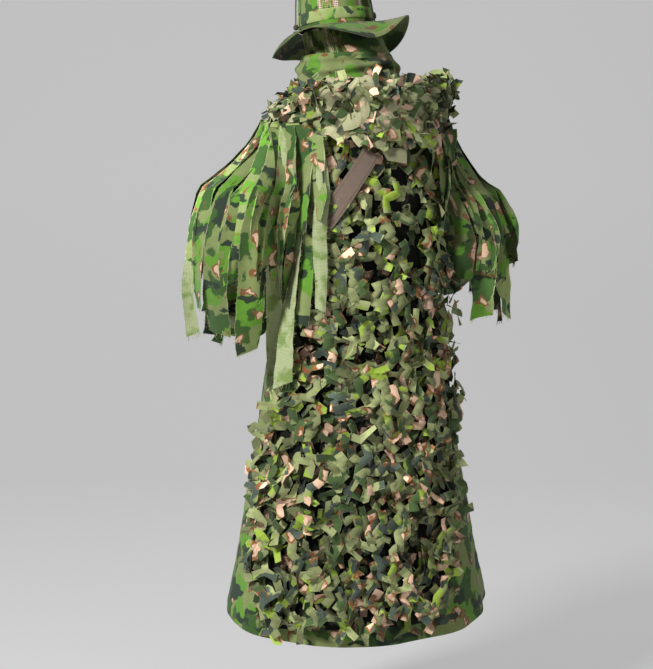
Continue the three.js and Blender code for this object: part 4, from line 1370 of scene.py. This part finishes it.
def hood_axes(t, h, out):
    point, radial = hood_surface(t, h, out)
    ahead = unit(hood_surface(t + 0.01, h, out)[0] - hood_surface(t - 0.01, h, out)[0])
    up = unit(hood_surface(t, h + 0.004, out)[0] - hood_surface(t, h - 0.004, out)[0])
    return point, ahead, up, unit(np.cross(up, ahead)) * np.sign(np.dot(np.cross(up, ahead), radial))


def yoke_axes(angle, s, lift):
    """A frame on the left yoke for pieces that have slid down from the hood."""
    at = lambda a, b: yoke(np.array(float(a)), np.array(float(b)))
    across = unit(at(angle + 1, s) - at(angle - 1, s))
    up = unit(at(angle, s - 0.02) - at(angle, s + 0.02))
    out = unit(np.cross(across, up))
    out = out * (1 if out[2] > 0 else -1)
    return at(angle, s) + out * lift, across, up, out


# Places across a band, from one edge to the other.
BAND_SIDES = (-1, -0.5, 0, 0.5, 1)


def add_band(cloth, surface, heading, bends, span, width, out, rng, tone, slot):
    """A band of the net lying over a surface: straight lengths joined at sixty-degree bends."""
    x, y, base = 0.0, 0.0, (rng.uniform(-3, 3), rng.uniform(-3, 3))
    spine, headings = [(x, y)], []
    for i in range(bends):
        heading_now = heading + (math.radians(rng.uniform(45, 65)) if i % 2 else 0)
        length = span * rng.uniform(0.76, 1.24)
        for _ in range(2):
            x += length / 2 * math.cos(heading_now)
            y += length / 2 * math.sin(heading_now)
            spine.append((x, y))
            headings.append(heading_now)
    headings = headings + [headings[-1]]
    rows, flats = [], []
    lean = rng.uniform(-0.40, 0.40)
    for i, (px, py) in enumerate(spine):
        direction = headings[i] if i == 0 else (headings[i] + headings[i - 1]) / 2
        nx, ny = -math.sin(direction), math.cos(direction)
        row, flat = [], []
        wave = 0.004 * math.sin(i * 1.3 + lean * 9)
        for side in BAND_SIDES:
            sx, sy = px + nx * side * width / 2, py + ny * side * width / 2
            row.append(surface(sx, sy, out + lean * side * width / 2 + 0.003 * (1 - side * side) + wave))
            flat.append((base[0] + sx, base[1] + sy, 2.0))
        rows.append(row)
        flats.append(flat)
    cloth.sheet(np.array(rows), np.array(flats), tone, slot, edge=np.abs(np.array(BAND_SIDES)))


LEAF_POINTS = 36


def leaf_outline(kind, length):
    """A leaf's outline in its own plane: lobed like oak, long and pointed, or round."""
    points = []
    for i in range(LEAF_POINTS):
        a = 2 * math.pi * i / LEAF_POINTS
        c, q = math.cos(a), math.sin(a)
        if kind == "oak":
            wide = 0.42 + 0.16 * math.cos(a * 7)
        elif kind == "long":
            wide = 0.26 * (1 - 0.35 * c)
        else:
            wide = 0.62
        x = 0.5 * c * (1 if kind != "long" else 1.15)
        points.append((x * length, q * wide * length * (0.55 if kind == "oak" else 0.75)))
    return points


def add_leaf(cloth, centre, ahead, side, length, kind, rng, slot, tone):
    """A single cut leaf, cupped a little, with its middle raised."""
    outline = leaf_outline(kind, length)
    out = unit(np.cross(ahead, side))
    bend = rng.uniform(-6, 6)
    local = [(0.0, 0.0, 0.0)]
    for share in (0.5, 1.0):
        for x, y in outline:
            local.append((x * share, y * share, bend * (x * share) ** 2 + 4 * abs(y * share) ** 1.5))
    faces = []
    for i in range(LEAF_POINTS):
        inner, after = 1 + i, 1 + (i + 1) % LEAF_POINTS
        faces.append((0, inner, after))
    for i in range(LEAF_POINTS):
        inner, after = 1 + i, 1 + (i + 1) % LEAF_POINTS
        faces.append((inner, inner + LEAF_POINTS, after + LEAF_POINTS, after))
    local = np.array(local)
    points = centre + local[:, 0:1] * ahead + local[:, 1:2] * side + local[:, 2:3] * out
    shift = np.array([rng.uniform(-3, 3), rng.uniform(-3, 3), 0])
    cloth.add(points, faces, local * np.array([1, 1, 0]) + shift, tone, slot)


def hood_low(t):
    """How far the hood hangs below its roll."""
    return -0.030 - 0.055 * math.sin(math.pi * min(max(t, 0), 1)) ** 0.7


def add_hood_roll():
    rows, cols = 110, 44
    t = np.linspace(0, 1, rows)
    points = np.zeros((rows, cols, 3))
    for i, share in enumerate(t):
        line, _, side = hood_frame(share)
        end = math.sqrt(max(0.0, 1 - (abs(share - 0.5) * 2) ** 8)) * 0.96 + 0.03
        for j in range(cols):
            turn = 2 * math.pi * j / cols
            radial = side * math.cos(turn) + UP * math.sin(turn) * HOOD["flatten"]
            points[i, j] = line + radial * HOOD["radius"] * end
    lumps = ripple(points * np.array([1, 1, 1.5]), 19, 8) * 0.012 + ripple(points, 46, 9) * 0.008
    middle = np.array([hood_frame(x)[0] for x in t])[:, None, :]
    points = points + unit(points - middle) * (lumps - 0.004)[..., None]
    flat = vec(t[:, None] * HOOD["length"], np.linspace(0, 0.19, cols)[None, :], 0)
    # tone=0.55 paints the folded hood darker: painted shade under the net pieces, bands and leaves over it.
    cloth_piece(
        "hood_folded", points, flat, MAT["cloth"], ["hood_roll"], "camouflage_net", closed=True, tone=0.55
    )


def add_hood_drape():
    share = np.linspace(0.02, 0.98, 70)
    down = np.linspace(0.03, 1, 16)
    points = np.zeros((16, 70, 3))
    for i, v in enumerate(down):
        for j, u in enumerate(share):
            h = 0.02 + (hood_low(u) - 0.02) * v
            points[i, j] = hood_surface(u, h, -0.004 + 0.006 * math.sin(v * 8 + 3 * u))[0]
    points = points + (0.006 * ripple(points, 26, 10))[..., None] * np.array([0, 1, 0])
    flat = vec(share[None, :] * HOOD["length"], down[:, None] * 0.1, 0)
    # tone=0.55 paints the hanging hood darker: painted shade under its roll and the pieces over it.
    sheet_piece(
        "hood_hanging", points, flat, MAT["cloth"], ["hood_drape"], "camouflage_net",
        "hung", ["hood_roll"], tone=0.55,
    )


def add_hood_net(rng):
    """Cut pieces and bands of the net over the hood, and those that have slid down onto the yoke."""
    cut = Cloth()
    for _ in range(200):
        t = rng.uniform(0.0, 1.0)
        h = rng.uniform(hood_low(t) - 0.012, 0.082)
        over = min(max(0.0, h - 0.050) / 0.04, 1)
        lift = rng.uniform(0.000, 0.012) * (1 - over) - 0.004 * over
        axes = tilted(hood_axes(t, h, lift), rng, 46 - 32 * over)
        place = free_print(rng)
        tone = rng.uniform(0.5, 1.25)
        arms = loose_arms(rng, 1.0)
        add_star(cut, axes, arms, place, tone, curl=rng.uniform(-8, 8), cup=rng.uniform(-0.3, 0.3))
    for k in range(96):
        t = rng.uniform(0.02, 0.98) if k % 2 else rng.uniform(0.10, 0.62)
        h = rng.uniform(hood_low(t) * 0.9, 0.070)
        heading = math.radians(rng.choice((-35, -50, 20, 65)) + rng.uniform(-15, 15))
        pale = 0.10 < t < 0.62 and h > -0.055 and rng.random() < 0.65
        tone = rng.uniform(0.75, 1.25) if pale else rng.uniform(0.55, 1.4)
        surface = lambda px, py, lift, t=t, h=h: hood_surface(t + px / HOOD["length"], h + py, lift)[0]
        out = rng.uniform(0.004, 0.018) * (1 - 0.6 * max(h, 0) / 0.07)
        width = rng.uniform(0.022, 0.034)
        bends = rng.choice((2, 3, 3, 4))
        add_band(cut, surface, heading, bends, 0.034, width, out, rng, tone, 1 if pale else 0)
    for _ in range(60):
        angle = rng.uniform(24, 98)
        axes = tilted(yoke_axes(angle, rng.uniform(0.42, 1.0), rng.uniform(0.004, 0.016)), rng, 34)
        place = free_print(rng)
        arms = loose_arms(rng, 1.1)
        add_star(cut, axes, arms, place, rng.uniform(0.5, 1.3), cup=rng.uniform(-0.3, 0.3))
    for _ in range(14):
        angle, s = rng.uniform(34, 92), rng.uniform(0.5, 0.9)
        surface = lambda px, py, lift, a=angle, s=s: yoke_axes(a + 300 * px, s - 5 * py, lift)[0]
        heading = math.radians(rng.uniform(-80, 20))
        add_band(cut, surface, heading, 3, 0.034, 0.030, 0.012, rng, rng.uniform(0.8, 1.3), 1)
    cut.build("hood_net_pieces", [MAT["net"], MAT["khaki"]], "cloak", [], smooth=False)


def add_hood_leaves(rng):
    leaves = Cloth()
    for k in range(46):
        t = rng.uniform(0.60, 1.0) if k % 4 else rng.uniform(0.05, 0.60)
        h = rng.uniform(-0.01, 0.095)
        _, a, b, _ = tilted(hood_axes(t, h, 0), rng, 40)
        centre = hood_surface(t, h, rng.uniform(0.006, 0.014))[0]
        spin = rng.uniform(0, 6.28)
        long_axis = a * math.cos(spin) + b * math.sin(spin)
        short_axis = b * math.cos(spin) - a * math.sin(spin)
        kind = rng.choice(("oak", "long", "long", "round"))
        slot = 0 if kind == "oak" or rng.random() < 0.35 else 1
        length, tone = rng.uniform(0.030, 0.052), rng.uniform(0.7, 1.25)
        add_leaf(leaves, centre, long_axis, short_axis, length, kind, rng, slot, tone)
    leaves.build("hood_leaves", [MAT["leaf"], MAT["net"]], "cloak", [])


def add_hood():
    add_hood_roll()
    add_hood_drape()
    rng = random.Random(77)
    add_hood_net(rng)
    add_hood_leaves(rng)


# ---------- Collar ----------
def add_collar():
    angle = np.linspace(-171, 171, 80)[None, :]
    rows = np.concatenate([np.linspace(0, 1, 8), np.linspace(1, 0, 8)])[:, None]
    out = np.concatenate([np.full(8, 0.0025), np.full(8, 0.0050)])[:, None]
    a = np.radians(angle)
    z = NECK["z"] + NECK["rise"] * np.cos(a) + 0.006 + 0.026 * rows
    x = (NECK["half_width"] + out) * np.sin(a)
    y = NECK["centre_y"] + (NECK["half_depth"] + out) * np.cos(a)
    flat = vec(a * 0.085, 0.03 * rows, 0)
    cloth_piece("collar_cloth", vec(x, y, z), flat, MAT["cloth"], ["neck_band"], "camouflage_cloth")


# ---------- Hat ----------
def hat_sheet(name, points, flat, look, replaces, slot, closed=True, tone=1.0):
    cloth_piece(name, from_hat(points), flat, MAT[look], [replaces], slot, "headwear", closed, tone)


AROUND = np.linspace(0, 2 * math.pi, 96, endpoint=False)[None, :]


def add_crown():
    z = np.linspace(0.002, CROWN["height"] + 0.004, 30)[:, None]
    slump = 0.0022 * ripple(crown(AROUND, z), 30, 14)
    side = crown(AROUND, z, slump - 0.0005)
    flat = vec(AROUND * 0.095, z, 0)
    hat_sheet("hat_crown_cloth", side, flat, "cloth", "hat_crown_side", "camouflage_cloth", tone=0.86)

    share = np.concatenate([np.linspace(1.0, 0.985, 3), np.linspace(0.96, 0.02, 22)])[:, None]
    rise = CROWN["height"] + 0.001 + 0.0105 * (1 - share**5) + 0.0015 * np.cos(AROUND * 2) * share
    k = CROWN["taper"]
    x = CROWN["half_width"] * k * share * np.cos(AROUND)
    y = CROWN["half_length"] * k * share * np.sin(AROUND)
    flat = vec(0.085 * share * np.cos(AROUND), 0.094 * share * np.sin(AROUND), 0.4)
    hat_sheet("hat_top_cloth", vec(x, y, rise), flat, "cloth", "hat_crown_top", "camouflage_cloth", tone=0.86)


def brim_wave(angle, t):
    return 0.0016 * np.sin(angle * 9 + 1) * t**2


def add_brim():
    t = np.linspace(0.0, 1.0, 26)
    loop_t = np.concatenate([t, t[::-1]])[:, None]
    up = np.concatenate([np.full(26, 0.0026), np.full(26, 0.0004)])[:, None]
    rows = brim(AROUND, loop_t, up + brim_wave(AROUND, loop_t))
    cloth = Cloth()
    flat = vec(AROUND * 0.13, loop_t * BRIM, up * 40)
    # The underside's tone of 0.5 is painted shade under the brim.
    cloth.sheet(from_hat(rows), flat, closed=True, tone=np.where(up > 0.001, 0.86, 0.5))
    for row in np.linspace(0.14, 0.94, 7):

        def line(s, row=row):
            angle = np.array(s * 2 * math.pi)
            return from_hat(brim(angle, np.array(row), 0.0029 + brim_wave(angle, row)))

        stitch_row(cloth, line, 150, 0.8, half=0.00045)
    cloth.build("hat_brim_cloth", [MAT["cloth"], MAT["thread"]], "headwear", ["hat_brim"])


def add_hat_bands():
    """The foliage band outside, the sweatband inside and the vent's mesh on each side."""
    z = np.linspace(0.012, 0.038, 8)[:, None]
    swell = np.sin(np.linspace(0, math.pi, 8))[:, None] ** 0.3
    puff = 0.0012 + 0.0022 * np.abs(np.sin(AROUND * 9)) ** 0.5 * swell
    band = crown(AROUND, z, puff)
    flat = vec(AROUND * 0.1 + 5, z, 0)
    hat_sheet("hat_band_cloth", band, flat, "cloth", "hat_foliage_band", "camouflage_cloth", tone=1.35)
    sweat = crown(AROUND, np.linspace(0.004, 0.032, 5)[:, None], -0.0036)
    flat = vec(AROUND * 0.1, np.linspace(0, 0.03, 5)[:, None], 0)
    hat_sheet("hat_sweat_cloth", sweat, flat, "strap", "hat_sweatband", "webbing")
    for name, sign in (("left", 1), ("right", -1)):
        a = np.radians(90 - sign * np.linspace(16, 50, 24))[None, :]
        z = np.linspace(0.034, 0.074, 16)[:, None]
        flat = vec(a * 0.095, z, 0)
        replaced = f"hat_vent_mesh_{name}"
        hat_sheet(f"hat_vent_cloth_{name}", crown(a, z, 0.0012), flat, "veil", replaced, "dark_mesh", False)


def add_cord():
    """The chin cord: one spline along the CAD route, from the right knot over the crown to the left one."""
    route = from_hat(CORD_ROUTE)
    curve = bpy.data.curves.new("chin_cord", "CURVE")
    curve.dimensions = "3D"
    curve.bevel_depth = CORD_DIAMETER / 2
    curve.bevel_resolution = 3
    curve.use_fill_caps = True
    spline = curve.splines.new("NURBS")
    spline.points.add(len(route) - 1)
    for point, place in zip(spline.points, route):
        point.co = (*place, 1.0)
    spline.order_u = 4
    spline.use_endpoint_u = True
    spline.resolution_u = 6
    s = Shader("cord_braid", roughness=0.85, specular=0.25)
    place = s.node("ShaderNodeTexCoord").outputs["Object"]
    inputs = {"Vector": place, "Scale": 130.0, "Distortion": 2.0}
    wave = s.node("ShaderNodeTexWave", inputs=inputs).outputs["Fac"]
    s.colour(s.mix(wave, linear("4c4836"), linear("7d775c")))
    s.bump(wave, 0.5, 0.0005)
    curve.materials.append(s.material)
    cord = bpy.data.objects.new("chin_cord", curve)
    bpy.context.scene.collection.objects.link(cord)
    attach(cord, "headwear")
    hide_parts("hat_chin_cord")
    return cord, route


def add_veil():
    t = np.linspace(0.05, 1.0, 26)[:, None]
    soft = 0.003 * np.sin(AROUND * 11 + 3 * t) * (1 - 0.4 * t)
    sheet_piece(
        "veil_mesh_cloth", veil_ring(AROUND + 0 * t, t, 0.008 + soft), vec(AROUND * 0.09, t * 0.1, 0),
        MAT["veil"], ["veil_face_mesh"], "veil_mesh", "hung", ["hat_sweatband"],
        closed=True, body="headwear",
    )


def add_bib():
    t = np.linspace(0, 1, 26)[:, None]
    low = vec(
        BIB["centre"][0] + BIB["half_width"] * np.cos(AROUND),
        BIB["centre"][1] + BIB["half_depth"] * np.sin(AROUND),
        BIB["bottom"] + 0.006 * np.sin(AROUND),
    )
    high = veil_ring(AROUND - math.radians(HAT["yaw"]), 0.20 + 0 * AROUND, -0.006)
    outward = vec(np.cos(AROUND), np.sin(AROUND), 0)
    tuck = 0.004 * np.sin(t * 14 + 2 * np.sin(AROUND * 2)) + 0.003 * np.sin(AROUND * 13 + t * 5)
    out = 0.002 + 0.006 * np.sin(np.pi * t) + tuck * np.sin(np.pi * t) ** 0.5
    points = low + (high - low) * t[..., None] + outward * out[..., None]
    sheet_piece(
        "veil_bib_cloth", points, vec(AROUND * 0.115, t * 0.09, 0), MAT["cloth"], ["veil_neck_cloth"],
        "camouflage_cloth", "gathered", ["veil_face_mesh"], closed=True, tone=0.86, body="headwear",
    )


def add_rear_flap():
    angle = math.pi - np.radians(np.linspace(12, 112, 44))[None, :]
    t = np.linspace(0.02, 0.95, 26)[:, None]
    base = veil_ring(angle + 0 * t, t, -0.002)
    centre = vec(HAT["centre"][0], HAT["centre"][1], base[..., 2])
    wave = 0.004 + 0.003 * np.sin(angle * 9) * (1 - t) + 0.002 * ripple(base, 40, 15)
    sheet_piece(
        "veil_flap_cloth", base + unit(base - centre) * wave[..., None], vec(angle * 0.09, t * 0.1, 2),
        MAT["cloth"], ["veil_rear_flap"], "camouflage_cloth", "hung", ["hat_sweatband"], body="headwear",
    )


# ---------- Fittings that keep their CAD shape ----------
def dress_fittings():
    looks = {
        "zip_slider": "metal",
        "zip_pull": "metal",
        "zip_bottom_stop": "metal",
        "hat_eyelet_left": "metal",
        "hat_eyelet_right": "metal",
        "zip_teeth_left": "plastic",
        "zip_teeth_right": "plastic",
        "hat_cord_slider": "plastic",
        "zip_tape_left": "tape",
        "zip_tape_right": "tape",
        "hanger_loop": "loop",
        "hat_cord_knot_left": "braid",
        "hat_cord_knot_right": "braid",
    }
    for node, look in looks.items():
        mesh_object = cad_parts[node]
        mesh_object.data.materials.clear()
        mesh_object.data.materials.append(MAT[look])


right, away = add_camera()
cord, cord_route = add_cord()
add_studio(right, away)
add_cloak()
add_placket()
add_yoke()
add_sleeves()
add_nets()
add_fringes()
add_strap()
add_hood()
add_collar()
add_crown()
add_brim()
add_hat_bands()
add_veil()
add_bib()
add_rear_flap()
dress_fittings()

tuple(cord_route[0])
float(np.linalg.norm(np.diff(cord_route, axis=0), axis=1).sum())

bpy.context.scene.view_settings.view_transform = "Standard"
